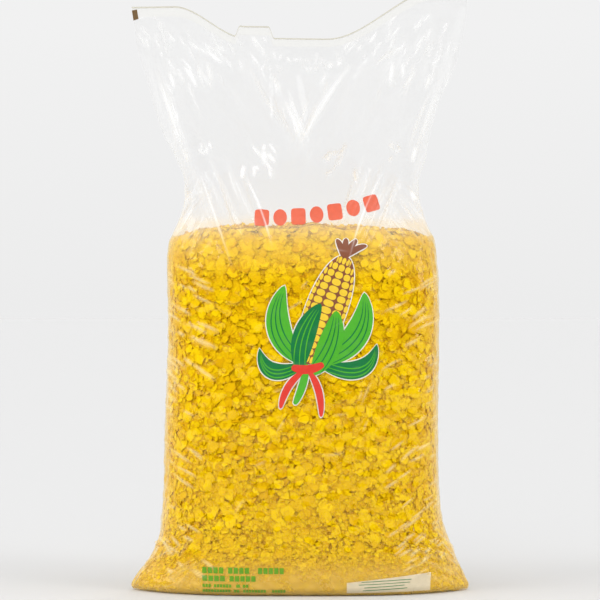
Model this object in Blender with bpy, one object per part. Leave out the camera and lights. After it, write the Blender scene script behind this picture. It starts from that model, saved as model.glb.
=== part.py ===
"""A clear bulk bag of corn flakes, standing on its filled base, as one closed solid.

The bag is a flat tube of film, welded at both ends. Corn flakes fill its lower part, which bulges to
a rounded block with a flat base and two pointed ears, and press bumps of their own size into the
film. Above them the empty film narrows to a waist, then fans out flat to the welded top edge, and
long folds run up it from the flakes.
"""

import math
from typing import NamedTuple

import bmesh
import bpy
import numpy as np


class Section(NamedTuple):
    """The tube's section at one height, in metres."""

    height: float
    left: float  # reach to the left of the origin
    right: float
    depth: float  # reach to the front, and to the back
    fullness: float  # 2 is an ellipse, and more is flatter at the front
    edge: float  # below 0.5 the sides are blunt, and near 1 they are pointed


class Fold(NamedTuple):
    """A fold that stands out of the front film, from one place (x, z) to another, in metres."""

    start: tuple
    end: tuple
    height: float


# Driving dimensions, in metres. The front faces -Y, and the origin is the middle of the base.
HALF_WIDTH = 0.248  # of the tube laid flat, seen at the ears of the base and the top corners
HALF_WELD = 0.0022
TOP_HEIGHT = 0.856  # of the top edge, before it is bent to the true one
HEAD_START = 0.591  # above this height the film follows the bent top edge
SECTIONS = (
    Section(0.000, 0.2440, 0.2455, 0.088, 3.2, 0.90),
    Section(0.007, HALF_WIDTH, HALF_WIDTH, 0.099, 3.2, 0.86),
    Section(0.019, 0.2425, 0.2430, 0.105, 3.1, 0.78),
    Section(0.041, 0.2240, 0.2320, 0.109, 3.0, 0.64),
    Section(0.073, 0.2085, 0.2190, 0.111, 2.8, 0.52),
    Section(0.111, 0.2030, 0.2075, 0.112, 2.7, 0.45),
    Section(0.241, 0.1985, 0.2025, 0.111, 2.6, 0.41),
    Section(0.391, 0.1935, 0.2040, 0.106, 2.6, 0.41),
    Section(0.481, 0.1955, 0.2010, 0.098, 2.6, 0.42),
    Section(0.511, 0.1915, 0.1975, 0.089, 2.5, 0.44),
    Section(0.541, 0.1790, 0.1850, 0.076, 2.4, 0.47),
    Section(HEAD_START, 0.1675, 0.1740, 0.059, 2.2, 0.52),
    Section(0.631, 0.1790, 0.1842, 0.047, 2.0, 0.56),
    Section(0.661, 0.1965, 0.1895, 0.038, 2.0, 0.60),
    Section(0.701, 0.2117, 0.2010, 0.028, 2.0, 0.62),
    Section(0.756, 0.2275, 0.2295, 0.013, 2.0, 0.62),
    Section(0.797, 0.2400, 0.2405, 0.004, 5.0, 0.55),
    Section(0.831, 0.2440, 0.2450, HALF_WELD, 10.0, 0.50),
    Section(TOP_HEIGHT, HALF_WIDTH, 0.2450, HALF_WELD, 10.0, 0.50),
)

# The top edge sags between the corners, with a tab where a pleat of the weld stands up.
SAG_HEIGHT = 0.8105
LEFT_CLIMB = (0.080, 0.105, 0.0465)  # distance from the middle, length and height
RIGHT_CLIMB = (0.040, 0.170, 0.0745)
TAB_MIDDLE = -0.067
TAB_WIDTH = 0.050
TAB_RISE = 0.017
TAB_SLOPE = 0.008
TOP_WAVE = 0.009  # how far the top edge waves to the front and back
TOP_WAVE_LENGTH = 0.34
TOP_WAVE_PHASE = 0.6

# Folds of the empty film, and where it is thick enough for its two faces to fold apart.
FOLDS = (
    Fold((-0.165, 0.581), (-0.232, 0.841), 0.0070),
    Fold((-0.148, 0.601), (-0.182, 0.836), 0.0060),
    Fold((-0.120, 0.631), (-0.108, 0.791), 0.0045),
    Fold((0.007, 0.656), (-0.016, 0.786), 0.0045),
    Fold((0.007, 0.656), (0.074, 0.781), 0.0050),
    Fold((0.128, 0.591), (0.182, 0.851), 0.0060),
    Fold((0.160, 0.581), (0.228, 0.861), 0.0070),
    Fold((-0.143, 0.611), (-0.097, 0.476), 0.0055),
    Fold((-0.078, 0.601), (-0.040, 0.506), 0.0040),
    Fold((0.116, 0.611), (0.069, 0.476), 0.0055),
    Fold((0.020, 0.631), (0.012, 0.546), 0.0035),
)
FOLD_WIDTH = 0.011
THIN_DEPTH = 0.006
THICK_DEPTH = 0.026

# Bumps where the flakes press into the film.
FLAKE_SIZE = 0.024
FLAKE_RELIEF = 0.0028
FLAKE_TILT = 0.24  # slope of the steepest flake against the film
FLAKE_SCATTER = 0.32  # of the distance between two flakes
FILL_HEIGHT = 0.531  # the flakes reach this high
SMOOTH_BASE = 0.030  # the flakes' bumps fade into the flat base over this height
SMOOTH_TOP = 0.012
SEED = 7

# Rows and columns of the mesh.
COLUMNS = 40  # from the left edge to the right one, on the front and again on the back
MIDDLE_CROWDING = 0.30  # how much closer together the columns are in the middle of each face
BASE_ROWS = (0.0, 0.004, 0.009, 0.016, 0.024, 0.033)
BODY_ROWS = 42
HEAD_ROWS = 19
WELD_ROWS = (0.826, 0.836, 0.846, TOP_HEIGHT)

FLAKE_COLOUR = (0.80, 0.45, 0.02, 1.0)  # linear
FILM_ROUGHNESS = 0.35
SMALLEST_NORMAL = 1e-12
NORMAL_STEP = 1e-4


def smooth_step(value):
    """0 below 0, 1 above 1, with no slope at either end."""
    share = np.clip(value, 0.0, 1.0)
    return share * share * (3.0 - 2.0 * share)


def section_at(height):
    """Reads the sections at any heights, along curves that pass smoothly through them.

    Returns an array of the five section values for each height. Each curve is a cubic between
    neighbouring sections, whose slopes never carry it past a section.
    """
    table = np.array(SECTIONS)
    heights = table[:, 0]
    values = table[:, 1:]
    slopes = np.gradient(values, heights, axis=0)
    steps = np.diff(values, axis=0) / np.diff(heights)[:, None]
    turns = steps[1:] * steps[:-1] <= 0.0
    slopes[1:-1][turns] = 0.0
    limit = 3.0 * np.minimum(np.abs(steps[1:]), np.abs(steps[:-1]))
    slopes[1:-1] = np.clip(slopes[1:-1], -limit, limit)
    index = np.clip(np.searchsorted(heights, height, side="right") - 1, 0, len(heights) - 2)
    gap = (heights[index + 1] - heights[index])[..., None]
    share = np.clip((height - heights[index])[..., None] / gap, 0.0, 1.0)
    squared = share * share
    cubed = squared * share
    return (
        (2.0 * cubed - 3.0 * squared + 1.0) * values[index]
        + (cubed - 2.0 * squared + share) * gap * slopes[index]
        + (3.0 * squared - 2.0 * cubed) * values[index + 1]
        + (cubed - squared) * gap * slopes[index + 1]
    )


def climb(distance, start, length, height):
    """Height gained at a distance from the middle, on the way to one of the top corners."""
    return height * smooth_step((distance - start) / length)


def top_edge(x):
    """Height of the bag's top edge."""
    tab = smooth_step((TAB_WIDTH / 2.0 - np.abs(x - TAB_MIDDLE)) / TAB_SLOPE + 0.5)
    return SAG_HEIGHT + climb(-x, *LEFT_CLIMB) + climb(x, *RIGHT_CLIMB) + TAB_RISE * tab


def bag_surface(angle, height):
    """Points of the smooth bag.

    The angle runs round the section: 0 is the left edge, pi the right one, the front lies between
    them and the back follows. Width goes with the cosine, and depth is a power curve of it, so one
    formula gives the blunt body, the pointed ears and the flat head. Heights above HEAD_START are
    stretched to meet the top edge.
    """
    left, right, depth, fullness, edge = np.moveaxis(section_at(height), -1, 0)
    across = -np.cos(angle)
    x = (right - left) / 2.0 + (left + right) / 2.0 * across
    reach = np.clip(1.0 - np.abs(across) ** fullness, 0.0, 1.0) ** edge
    side = np.where(np.sin(angle) >= 0.0, -1.0, 1.0)
    share = np.clip((height - HEAD_START) / (TOP_HEIGHT - HEAD_START), 0.0, 1.0)
    turns = x / TOP_WAVE_LENGTH
    wave = TOP_WAVE * share**2 * np.sin(2.0 * math.pi * turns + TOP_WAVE_PHASE)
    y = side * depth * reach + wave
    z = np.where(height > HEAD_START, HEAD_START + share * (top_edge(x) - HEAD_START), height)
    return np.stack([x, y, z], axis=-1)


def outward(angle, height):
    """Directions out of the bag: across the two slopes of the smooth surface."""
    round_it = bag_surface(angle + NORMAL_STEP, height) - bag_surface(angle - NORMAL_STEP, height)
    up = bag_surface(angle, height + NORMAL_STEP) - bag_surface(angle, height - NORMAL_STEP)
    normal = np.cross(round_it, up)
    return normal / np.maximum(np.linalg.norm(normal, axis=-1, keepdims=True), SMALLEST_NORMAL)


def apartness(angle, height):
    """0 at the side edges and in the flat head, 1 where the two faces are well apart."""
    depth, fullness, edge = np.moveaxis(section_at(height), -1, 0)[2:]
    reach = np.clip(1.0 - np.abs(np.cos(angle)) ** fullness, 0.0, 1.0) ** edge
    return smooth_step((depth * reach - THIN_DEPTH) / (THICK_DEPTH - THIN_DEPTH))


def flake_bumps(angle, height):
    """How far the film stands out over the flakes.

    Flake centres lie on a jittered lattice over the bag. Each point of the film belongs to its
    nearest flake, which is a small flat plate with its own height and slope.
    """
    draw = np.random.default_rng(SEED)
    rows = int(FILL_HEIGHT / FLAKE_SIZE)
    columns = int(4.0 * HALF_WIDTH / FLAKE_SIZE)
    row, column = np.meshgrid(np.arange(rows), np.arange(columns), indexing="ij")
    jitter = draw.uniform(-FLAKE_SCATTER, FLAKE_SCATTER, (2, rows, columns))
    centre_angle = (column + 0.5 * (row % 2) + jitter[0]) * 2.0 * math.pi / columns
    centre_height = (row + 0.5 + jitter[1]) * FLAKE_SIZE
    centres = bag_surface(centre_angle, centre_height).reshape(-1, 3)
    slopes = draw.uniform(-FLAKE_TILT, FLAKE_TILT, (len(centres), 3))
    heights = draw.uniform(-0.5, 0.5, len(centres)) * FLAKE_RELIEF

    points = bag_surface(angle, height).reshape(-1, 3)
    gaps = np.linalg.norm(points[:, None, :] - centres[None, :, :], axis=2)
    nearest = gaps.argmin(axis=1)
    away = points - centres[nearest]
    bumps = heights[nearest] + (slopes[nearest] * away).sum(axis=1)
    bumps = np.clip(bumps, -FLAKE_RELIEF, FLAKE_RELIEF).reshape(angle.shape)
    filled = smooth_step(height / SMOOTH_BASE) * smooth_step((FILL_HEIGHT - height) / SMOOTH_TOP)
    return bumps * filled * apartness(angle, height)


def ridges(x, z):
    """How far the folds stand out at a place: round ridges along straight lines, low at the ends."""
    total = np.zeros_like(x)
    for fold in FOLDS:
        start = np.array(fold.start)
        along = np.array(fold.end) - start
        length = math.hypot(*along)
        way = ((x - start[0]) * along[0] + (z - start[1]) * along[1]) / length**2
        offset = ((x - start[0]) * along[1] - (z - start[1]) * along[0]) / length
        taper = np.sin(math.pi * np.clip(way, 0.0, 1.0)) ** 0.5
        total = np.maximum(total, fold.height * taper * np.exp(-((offset / FOLD_WIDTH) ** 2)))
    return total


def fold_shift(angle, points, apart):
    """How far the folds push the film to the back.

    The front film comes forward along its folds. The back film has the same folds, mirrored, where
    the two are well apart, and follows the front film where they lie together.
    """
    x, z = points[..., 0], points[..., 2]
    front = ridges(x, z)
    back = apart * ridges(-x, z) - (1.0 - apart) * front
    return np.where(np.sin(angle) >= 0.0, -front, back)


def row_heights():
    """Heights of the mesh rows: close together under the base's round edge and at the top weld."""
    body = np.linspace(BASE_ROWS[-1], FILL_HEIGHT, BODY_ROWS)[1:]
    head = np.linspace(FILL_HEIGHT, WELD_ROWS[0], HEAD_ROWS)[1:-1]
    return np.concatenate([BASE_ROWS, body, head, WELD_ROWS])


def bag_points():
    """The bag's points as rows of rings, shifted so that the origin is in the middle of the base."""
    even = np.arange(2 * COLUMNS) * math.pi / COLUMNS
    ring = even + MIDDLE_CROWDING * np.sin(2.0 * even) / 2.0
    angle, height = np.meshgrid(ring, row_heights())
    smooth = bag_surface(angle, height)
    points = smooth + outward(angle, height) * flake_bumps(angle, height)[..., None]
    points[..., 1] += fold_shift(angle, smooth, apartness(angle, height))
    points[0, :, 2] = 0.0
    flat = points.reshape(-1, 3)
    middle = (flat.min(axis=0) + flat.max(axis=0)) / 2.0
    points[..., :2] -= middle[:2]
    return points


def close_end(shape, ring, facing_down):
    """Closes one end of the tube with strips from its front edge to its back edge."""
    count = len(ring)
    for step in range(COLUMNS):
        front, next_front = ring[step], ring[step + 1]
        back, next_back = ring[-step % count], ring[count - step - 1]
        corners = [front, back, next_back, next_front]
        if not facing_down:
            corners.reverse()
        shape.faces.new(list(dict.fromkeys(corners)))


def make_bag():
    """Joins the rings of points into one closed skin."""
    shape = bmesh.new()
    rings = [[shape.verts.new(point) for point in row] for row in bag_points()]
    for lower, upper in zip(rings, rings[1:]):
        for step in range(len(lower)):
            after = (step + 1) % len(lower)
            shape.faces.new([lower[step], lower[after], upper[after], upper[step]])
    close_end(shape, rings[0], facing_down=True)
    close_end(shape, rings[-1], facing_down=False)
    bmesh.ops.triangulate(shape, faces=shape.faces)
    bmesh.ops.recalc_face_normals(shape, faces=shape.faces)
    mesh = bpy.data.meshes.new("bag")
    shape.to_mesh(mesh)
    shape.free()
    bag = bpy.data.objects.new("bag", mesh)
    bpy.context.scene.collection.objects.link(bag)
    return bag


def film_over_flakes():
    """Glossy golden finish: corn flakes seen through clear film."""
    material = bpy.data.materials.new("corn flakes under clear film")
    material.use_nodes = True
    finish = material.node_tree.nodes["Principled BSDF"]
    finish.inputs["Base Color"].default_value = FLAKE_COLOUR
    finish.inputs["Roughness"].default_value = FILM_ROUGHNESS
    finish.inputs["Metallic"].default_value = 0.0
    return material


def clear_scene():
    """Removes what the scene starts with."""
    for thing in list(bpy.data.objects):
        bpy.data.objects.remove(thing)


def main():
    """Builds the bag."""
    clear_scene()
    bag = make_bag()
    bag.data.materials.append(film_over_flakes())


main()
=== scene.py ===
"""Looks of a clear bulk bag of corn flakes: film, welded edge, printing, flakes, dust and a plain studio.

Everything is placed on one surface, BagShape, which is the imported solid's own. Its parameters are an
angle round the section (0 is the left edge, pi the right one, the front lies between them) and a height.
"""

import logging
import math
from dataclasses import dataclass
from enum import Enum
from typing import Any, NamedTuple

import bmesh
import bpy
import numpy as np
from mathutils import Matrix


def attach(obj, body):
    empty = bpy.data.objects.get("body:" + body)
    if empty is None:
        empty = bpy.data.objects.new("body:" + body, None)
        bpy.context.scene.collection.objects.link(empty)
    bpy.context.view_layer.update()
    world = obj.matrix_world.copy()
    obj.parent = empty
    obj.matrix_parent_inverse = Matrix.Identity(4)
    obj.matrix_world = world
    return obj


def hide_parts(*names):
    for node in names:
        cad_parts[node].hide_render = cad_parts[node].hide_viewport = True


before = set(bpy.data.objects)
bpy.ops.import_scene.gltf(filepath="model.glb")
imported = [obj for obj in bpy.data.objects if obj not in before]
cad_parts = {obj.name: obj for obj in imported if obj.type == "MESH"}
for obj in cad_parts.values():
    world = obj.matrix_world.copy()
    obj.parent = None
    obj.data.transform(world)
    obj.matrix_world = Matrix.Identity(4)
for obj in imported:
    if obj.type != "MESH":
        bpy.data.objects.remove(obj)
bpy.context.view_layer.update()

Array = np.ndarray
Place = tuple[float, float] | np.ndarray  # (x, z) on the front film, in metres
Socket = bpy.types.NodeSocket
Tree = bpy.types.NodeTree
LOG = logging.getLogger("bag")
BODY = "root"
NODE = "bag"
MM = 0.001
TURN = 2.0 * math.pi
TINY = 1e-12  # keeps a division by a length from failing


# Small tools for meshes and nodes.


def linear(code: str) -> tuple[float, float, float, float]:
    """Turns an sRGB hex colour to linear red, green, blue and a full alpha.

    Args:
        code: the colour, such as "#F4CE3A".

    Returns:
        Four numbers from 0 to 1.
    """
    shares = [int(code[start:start + 2], 16) / 255.0 for start in (1, 3, 5)]
    red, green, blue = [v / 12.92 if v <= 0.04045 else ((v + 0.055) / 1.055) ** 2.4 for v in shares]
    return red, green, blue, 1.0


def feed(tree: Tree, node: bpy.types.Node, inputs: dict) -> None:
    """Gives a node's inputs, by name or number, their values or links them to the sockets given."""
    for key, value in inputs.items():
        if isinstance(value, Socket):
            tree.links.new(value, node.inputs[key])
        else:
            node.inputs[key].default_value = value


def add_node(tree: Tree, kind: str, inputs: dict | None = None, **settings: Any) -> bpy.types.Node:
    """Adds one node with its settings, values and links.

    Args:
        tree: the node tree.
        kind: the node's type name.
        inputs: a value, or a socket to link from, for each input by name or number.
        settings: attributes of the node.

    Returns:
        The new node.
    """
    node = tree.nodes.new(kind)
    for name, value in settings.items():
        setattr(node, name, value)
    feed(tree, node, inputs or {})
    return node


def start_material(name: str) -> tuple[bpy.types.Material, Tree, bpy.types.Node]:
    """Makes a material, and returns it with its node tree and its surface node."""
    material = bpy.data.materials.new(name)
    material.use_nodes = True
    tree = material.node_tree
    return material, tree, tree.nodes["Principled BSDF"]


def noise(tree: Tree, size_mm: float, detail: float) -> Socket:
    """A noise in the piece's own space, with lumps of a size in real millimetres."""
    where = add_node(tree, "ShaderNodeTexCoord").outputs["Object"]
    inputs = {"Vector": where, "Scale": 1.0 / (size_mm * MM), "Detail": detail}
    return add_node(tree, "ShaderNodeTexNoise", inputs).outputs["Fac"]


def attribute(tree: Tree, name: str) -> Socket:
    """The number that each point of a piece carries under a name."""
    return add_node(tree, "ShaderNodeAttribute", attribute_name=name).outputs["Fac"]


def bump(tree: Tree, height: Socket, strength: float, depth_mm: float) -> Socket:
    """A normal that leans as if the surface rose and fell by a depth in real millimetres."""
    inputs = {"Height": height, "Strength": strength, "Distance": depth_mm * MM}
    return add_node(tree, "ShaderNodeBump", inputs).outputs["Normal"]


def calculate(tree: Tree, operation: str, *values: Socket | float, **settings: Any) -> Socket:
    """One sum with the values given."""
    inputs = dict(enumerate(values))
    return add_node(tree, "ShaderNodeMath", inputs, operation=operation, **settings).outputs[0]


def ramp(tree: Tree, value: Socket, before: tuple, after: tuple = (0.0, 1.0)) -> Socket:
    """Maps one range of numbers onto another, and holds it at both ends."""
    ends = ("From Min", "From Max", "To Min", "To Max")
    inputs = dict(zip(("Value",) + ends, (value,) + before + after))
    return add_node(tree, "ShaderNodeMapRange", inputs).outputs[0]


def mix(tree: Tree, share: Socket, low: Socket | str | tuple, high: Socket | str | tuple) -> Socket:
    """Mixes two colours, each a socket, a hex code or linear numbers; a share of 0 is all the first."""
    low, high = (linear(end) if isinstance(end, str) else end for end in (low, high))
    return add_node(tree, "ShaderNodeMix", {0: share, 6: low, 7: high}, data_type="RGBA").outputs[2]


def scaled(colour: tuple[float, ...], factor: float) -> tuple[float, ...]:
    """A linear colour made lighter or darker, at most white, and still opaque."""
    return tuple(min(1.0, factor * value) for value in colour[:3]) + (1.0,)


def smooth_step(value: Array) -> Array:
    """0 below 0, 1 above 1, with no slope at either end."""
    share = np.clip(value, 0.0, 1.0)
    return share * share * (3.0 - 2.0 * share)


def climb(value: Array, start: float | Array, reach: float) -> Array:
    """0 up to a start, and 1 from a reach after it."""
    return smooth_step((value - start) / reach)


def drop(value: Array, end: float, reach: float) -> Array:
    """1 up to a reach before an end, and 0 from the end."""
    return smooth_step((end - value) / reach)


def hill(offset: Array, width: float | Array) -> Array:
    """1 at an offset of 0, and less away from it, along a bell curve."""
    return np.exp(-((offset / width) ** 2))


def unit(vectors: Array) -> Array:
    """Vectors along the last axis, each made one long."""
    return vectors / np.maximum(np.linalg.norm(vectors, axis=-1, keepdims=True), TINY)


def facing(angle: Array) -> Array:
    """-1 on the front film and 1 on the back film."""
    return np.where(np.sin(angle) >= 0.0, -1.0, 1.0)


def bulge(across: Array, fullness: Array, edge: Array) -> Array:
    """How deep a section is at a share across it, as a share of its depth in the middle."""
    return np.clip(1.0 - np.abs(across) ** fullness, 0.0, 1.0) ** edge


def share_across(x: Array, left: Array, right: Array) -> Array:
    """Where a place lies across a section: -1 at its left edge, and 1 at its right one."""
    return (x - (right - left) / 2.0) / ((left + right) / 2.0)


def grid_faces(rows: int, columns: int, closed: bool = False) -> Array:
    """Quads between neighbouring points of a grid whose points are numbered row by row.

    Args:
        rows: number of rows of points.
        columns: number of points in a row.
        closed: whether the last point of a row joins the first.

    Returns:
        Point numbers, four to a face.
    """
    last = columns if closed else columns - 1
    row, column = np.meshgrid(np.arange(rows - 1) * columns, np.arange(last), indexing="ij")
    after = (column + 1) % columns
    quads = [row + column, row + after, row + columns + after, row + columns + column]
    return np.stack(quads, axis=-1).reshape(-1, 4)


def add_object(name: str, data: bpy.types.ID) -> bpy.types.Object:
    """Makes an object of some data and puts it in the scene."""
    made = bpy.data.objects.new(name, data)
    bpy.context.scene.collection.objects.link(made)
    return made


def new_piece(name: str, points: Array, faces: Array) -> bpy.types.Object:
    """Makes a smooth mesh object from whole arrays.

    Args:
        name: the piece's name.
        points: places in metres, three numbers each.
        faces: point numbers, with the same number of corners in every face.

    Returns:
        The object, at the origin.
    """
    mesh = bpy.data.meshes.new(name)
    corners = faces.shape[1]
    mesh.vertices.add(points.size // 3)
    mesh.loops.add(faces.size)
    mesh.polygons.add(len(faces))
    mesh.vertices.foreach_set("co", points.astype(np.float32).ravel())
    mesh.loops.foreach_set("vertex_index", faces.astype(np.int32).ravel())
    mesh.polygons.foreach_set("loop_start", np.arange(len(faces), dtype=np.int32) * corners)
    mesh.update(calc_edges=True)
    mesh.polygons.foreach_set("use_smooth", np.ones(len(faces), dtype=bool))
    return add_object(name, mesh)


def weld_doubles(piece: bpy.types.Object, turn_out: bool = True) -> None:
    """Merges points that lie in one place, as at a pole, and turns the faces of a closed piece outwards."""
    shape = bmesh.new()
    shape.from_mesh(piece.data)
    bmesh.ops.remove_doubles(shape, verts=shape.verts, dist=1e-6)
    if turn_out:
        bmesh.ops.recalc_face_normals(shape, faces=shape.faces)
    shape.to_mesh(piece.data)
    shape.free()


def add_attribute(piece: bpy.types.Object, name: str, values: Array) -> None:
    """Stores one number for each point of a piece, for its material to read."""
    layer = piece.data.attributes.new(name, "FLOAT", "POINT")
    layer.data.foreach_set("value", values.astype(np.float32).ravel())


def place(piece: bpy.types.Object, materials: list[bpy.types.Material]) -> None:
    """Gives a piece its finish and its place in the frame: it rides on the bag and stands for its node."""
    for material in materials:
        piece.data.materials.append(material)
    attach(piece, BODY)
    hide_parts(NODE)
    LOG.info("%s: %d faces", piece.name, len(piece.data.polygons))


# Finishes.


@dataclass(frozen=True)
class BlownFilm:
    """Clear blown polythene film, 0.1 mm thick.

    It shows as mirror-like glints along its creases, as a pale sheen where it is seen edge-on, and is
    all but invisible between. Where it is scuffed, or dusty from the flakes, it looks milky. Along the
    creases' crests that milky white is partly scuffing and partly a painted highlight.
    """

    name: str = "blown clear polythene film"
    facing_share: float = 0.03  # a film with an IOR of 1.5 reflects about this when seen straight on
    grazing_share: float = 0.9
    grazing_power: float = 5.0  # of the usual approximation to Fresnel's law
    roughness: float = 0.06
    scuff_and_glint: str = "#FEFEFC"
    flake_light_and_dust_tint: str = "#FFEBAC"  # over the flakes: their dust tints it, and their light is painted into it
    dust: str = "#F6CF64"
    sheen: float = 0.85  # milkiness when seen edge-on
    sheen_power: float = 3.2
    crinkle_mm: float = 2.2
    crinkle_depth_mm: float = 0.4
    crinkle_strength: float = 0.06

    def material(self) -> bpy.types.Material:
        """Mixes see-through, milky and dusty surfaces, under a reflection that rises at grazing angles."""
        material, tree, _ = start_material(self.name)
        tree.nodes.clear()
        crinkle = bump(tree, noise(tree, self.crinkle_mm, 2.0), self.crinkle_strength, self.crinkle_depth_mm)
        creased = add_node(tree, "ShaderNodeLayerWeight", {"Blend": 0.5, "Normal": crinkle})
        steep = calculate(tree, "POWER", creased.outputs["Facing"], self.grazing_power)
        shine = ramp(tree, steep, (0.0, 1.0), (self.facing_share, self.grazing_share))
        smooth = add_node(tree, "ShaderNodeLayerWeight", {"Blend": 0.5})
        sheen = calculate(tree, "POWER", smooth.outputs["Facing"], self.sheen_power)
        milk_and_glint = calculate(tree, "MULTIPLY_ADD", sheen, self.sheen, attribute(tree, "haze_and_glint"), use_clamp=True)
        # over the flakes the milk turns cream: their dust, and their light painted in as colour
        tint = mix(tree, attribute(tree, "warm"), self.scuff_and_glint, self.flake_light_and_dust_tint)
        surface = add_node(tree, "ShaderNodeBsdfTransparent", {"Color": linear("#FFFFFF")}).outputs[0]
        milky = add_node(tree, "ShaderNodeBsdfDiffuse", {"Color": tint})
        powder = add_node(tree, "ShaderNodeBsdfDiffuse", {"Color": linear(self.dust)})
        gloss = add_node(tree, "ShaderNodeBsdfGlossy", {"Roughness": self.roughness, "Normal": crinkle})
        # the milky share holds the painted highlight along the crease crests, as well as the film's haze
        for share, cover in ((milk_and_glint, milky), (attribute(tree, "dust"), powder), (shine, gloss)):
            inputs = {0: share, 1: surface, 2: cover.outputs[0]}
            surface = add_node(tree, "ShaderNodeMixShader", inputs).outputs[0]
        add_node(tree, "ShaderNodeOutputMaterial", {"Surface": surface})
        return material


@dataclass(frozen=True)
class ToastedFlake:
    """Rolled and toasted maize grits: golden with a browner, crisp rim and a fine blistered skin."""

    name: str = "toasted rolled maize flake"
    pale: str = "#F4D000"
    golden: str = "#DDAB00"
    toasted: str = "#B26C04"
    blotch_share: float = 0.6  # how much the blotches add to a flake's own shade
    golden_range: tuple[float, float] = (0.20, 1.20)  # of shades, from pale to golden
    rim_power: float = 5.0
    brown_end: float = 1.3  # the rim's shade that is the brownest
    brownest: float = 0.55
    roughness: float = 0.55
    specular: float = 0.06
    blister_mm: float = 2.4
    blister_depth_mm: float = 0.8
    blister_strength: float = 0.7

    def material(self) -> bpy.types.Material:
        """Mixes three golds by each flake's own shade, by fine noise and towards its rim."""
        material, tree, finish = start_material(self.name)
        blotch = noise(tree, 2.0 * self.blister_mm, 3.0)
        blister = noise(tree, self.blister_mm, 4.0)
        mottled = calculate(tree, "MULTIPLY_ADD", blotch, self.blotch_share, attribute(tree, "shade"))
        warm = mix(tree, ramp(tree, mottled, self.golden_range), self.pale, self.golden)
        edge = calculate(tree, "POWER", attribute(tree, "rim"), self.rim_power)
        edge_share = calculate(tree, "MULTIPLY", edge, mottled)
        brown = ramp(tree, edge_share, (0.0, self.brown_end), (0.0, self.brownest))
        feed(tree, finish, {
            "Base Color": mix(tree, brown, warm, self.toasted),
            "Normal": bump(tree, blister, self.blister_strength, self.blister_depth_mm),
            "Roughness": self.roughness, "Specular IOR Level": self.specular})
        return material


@dataclass(frozen=True)
class FlakeDust:
    """Broken flakes and maize dust: amber in the gaps, and pale gold where it has settled at the base."""

    name: str = "settled maize dust and broken flakes"
    gap: tuple[str, str] = ("#DCA408", "#F2C414")
    settled: tuple[str, str] = ("#F4C63C", "#FBDC74")
    settled_height: float = 0.045
    roughness: float = 0.85
    specular: float = 0.2
    grain_mm: float = 1.6
    grain_depth_mm: float = 1.0
    grain_strength: float = 0.6
    grain_range: tuple[float, float] = (0.35, 0.65)

    def material(self) -> bpy.types.Material:
        """Mixes the gap's ambers above and the settled golds below, each by a noise of the grain's size."""
        material, tree, finish = start_material(self.name)
        grain = noise(tree, self.grain_mm, 3.0)
        where = add_node(tree, "ShaderNodeTexCoord")
        apart = add_node(tree, "ShaderNodeSeparateXYZ", {0: where.outputs["Object"]})
        low = ramp(tree, apart.outputs[2], (self.settled_height, self.settled_height * 0.5))
        speck = ramp(tree, grain, self.grain_range)
        feed(tree, finish, {
            "Base Color": mix(tree, low, mix(tree, speck, *self.gap), mix(tree, speck, *self.settled)),
            "Normal": bump(tree, grain, self.grain_strength, self.grain_depth_mm),
            "Roughness": self.roughness, "Specular IOR Level": self.specular})
        return material


ROLLER_PITCH_MM = 6.0  # of the streaks that a print roller leaves
THINNEST_INK = 0.82  # how light a streak is, as a share of the full ink
INK_ROUGHNESS = 0.3


class Ink(Enum):
    """Flexographic inks on the film: flat, slightly streaky and, when pale, a little see-through."""

    WHITE = ("white flexographic ink", "#F4F2EA", 0.85)
    RED = ("red flexographic ink", "#E23A2C", 0.95)
    ORANGE_RED = ("orange red flexographic ink", "#E55E3A", 0.95)
    BRIGHT_GREEN = ("bright green flexographic ink", "#4FB52A", 0.92)
    DARK_GREEN = ("dark green flexographic ink", "#0F7A3F", 0.95)
    TEXT_GREEN = ("mid green flexographic ink", "#5FA81C", 0.82)
    BROWN = ("brown flexographic ink", "#8C5236", 0.92)
    YELLOW = ("yellow flexographic ink", "#FFD83A", 0.85)
    PANEL = ("pale film label stock", "#EFE2C4", 0.82)
    MARK = ("dark brown flexographic ink", "#6E4F1C", 0.95)

    def material(self) -> bpy.types.Material:
        """One ink: its colour, streaked a little by the roller, and whitened where the film is scuffed, which
        is partly a painted highlight.
        """
        name, colour, cover = self.value
        material, tree, finish = start_material(name)
        full = linear(colour)
        streaked = mix(tree, noise(tree, ROLLER_PITCH_MM, 3.0), scaled(full, THINNEST_INK), full)
        # painted highlight: the ink turns white along the film's crease crests
        crests = calculate(tree, "POWER", attribute(tree, "haze_and_glint"), 2.0)
        feed(tree, finish, {
            "Base Color": mix(tree, crests, streaked, "#FFFFFF"), "Roughness": INK_ROUGHNESS, "Alpha": cover})
        return material


@dataclass(frozen=True)
class WeldedEdge:
    """Two films fused by a hot bar: a little milky and ivory, with the bar's fine ribs in its shade."""

    name: str
    ivory: str
    cover: float  # how little of what lies behind shows through
    lightest: float = 1.12
    roughness: float = 0.18
    mottle_mm: float = 4.0

    def material(self) -> bpy.types.Material:
        """Mixes see-through film with ivory, mottled by noise."""
        material, tree, finish = start_material(self.name)
        full = linear(self.ivory)
        mottled = mix(tree, noise(tree, self.mottle_mm, 2.0), full, scaled(full, self.lightest))
        feed(tree, finish, {"Base Color": mottled, "Roughness": self.roughness, "Alpha": self.cover})
        return material


WELD_BAND = WeldedEdge("heat welded polythene edge band", "#E4E2D6", 0.10)
WELD_RIM = WeldedEdge("heat welded polythene edge rim", "#CECBBD", 0.85)  # seen edge-on, so it is the denser


# The bag's own surface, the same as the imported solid's.


class Section(NamedTuple):
    """The tube's section at one height, in metres."""

    height: float
    left: float
    right: float
    depth: float
    fullness: float
    edge: float


class Fold(NamedTuple):
    """A broad fold that stands out of the front film, from one place (x, z) to another, in metres."""

    start: tuple[float, float]
    end: tuple[float, float]
    height: float


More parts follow.
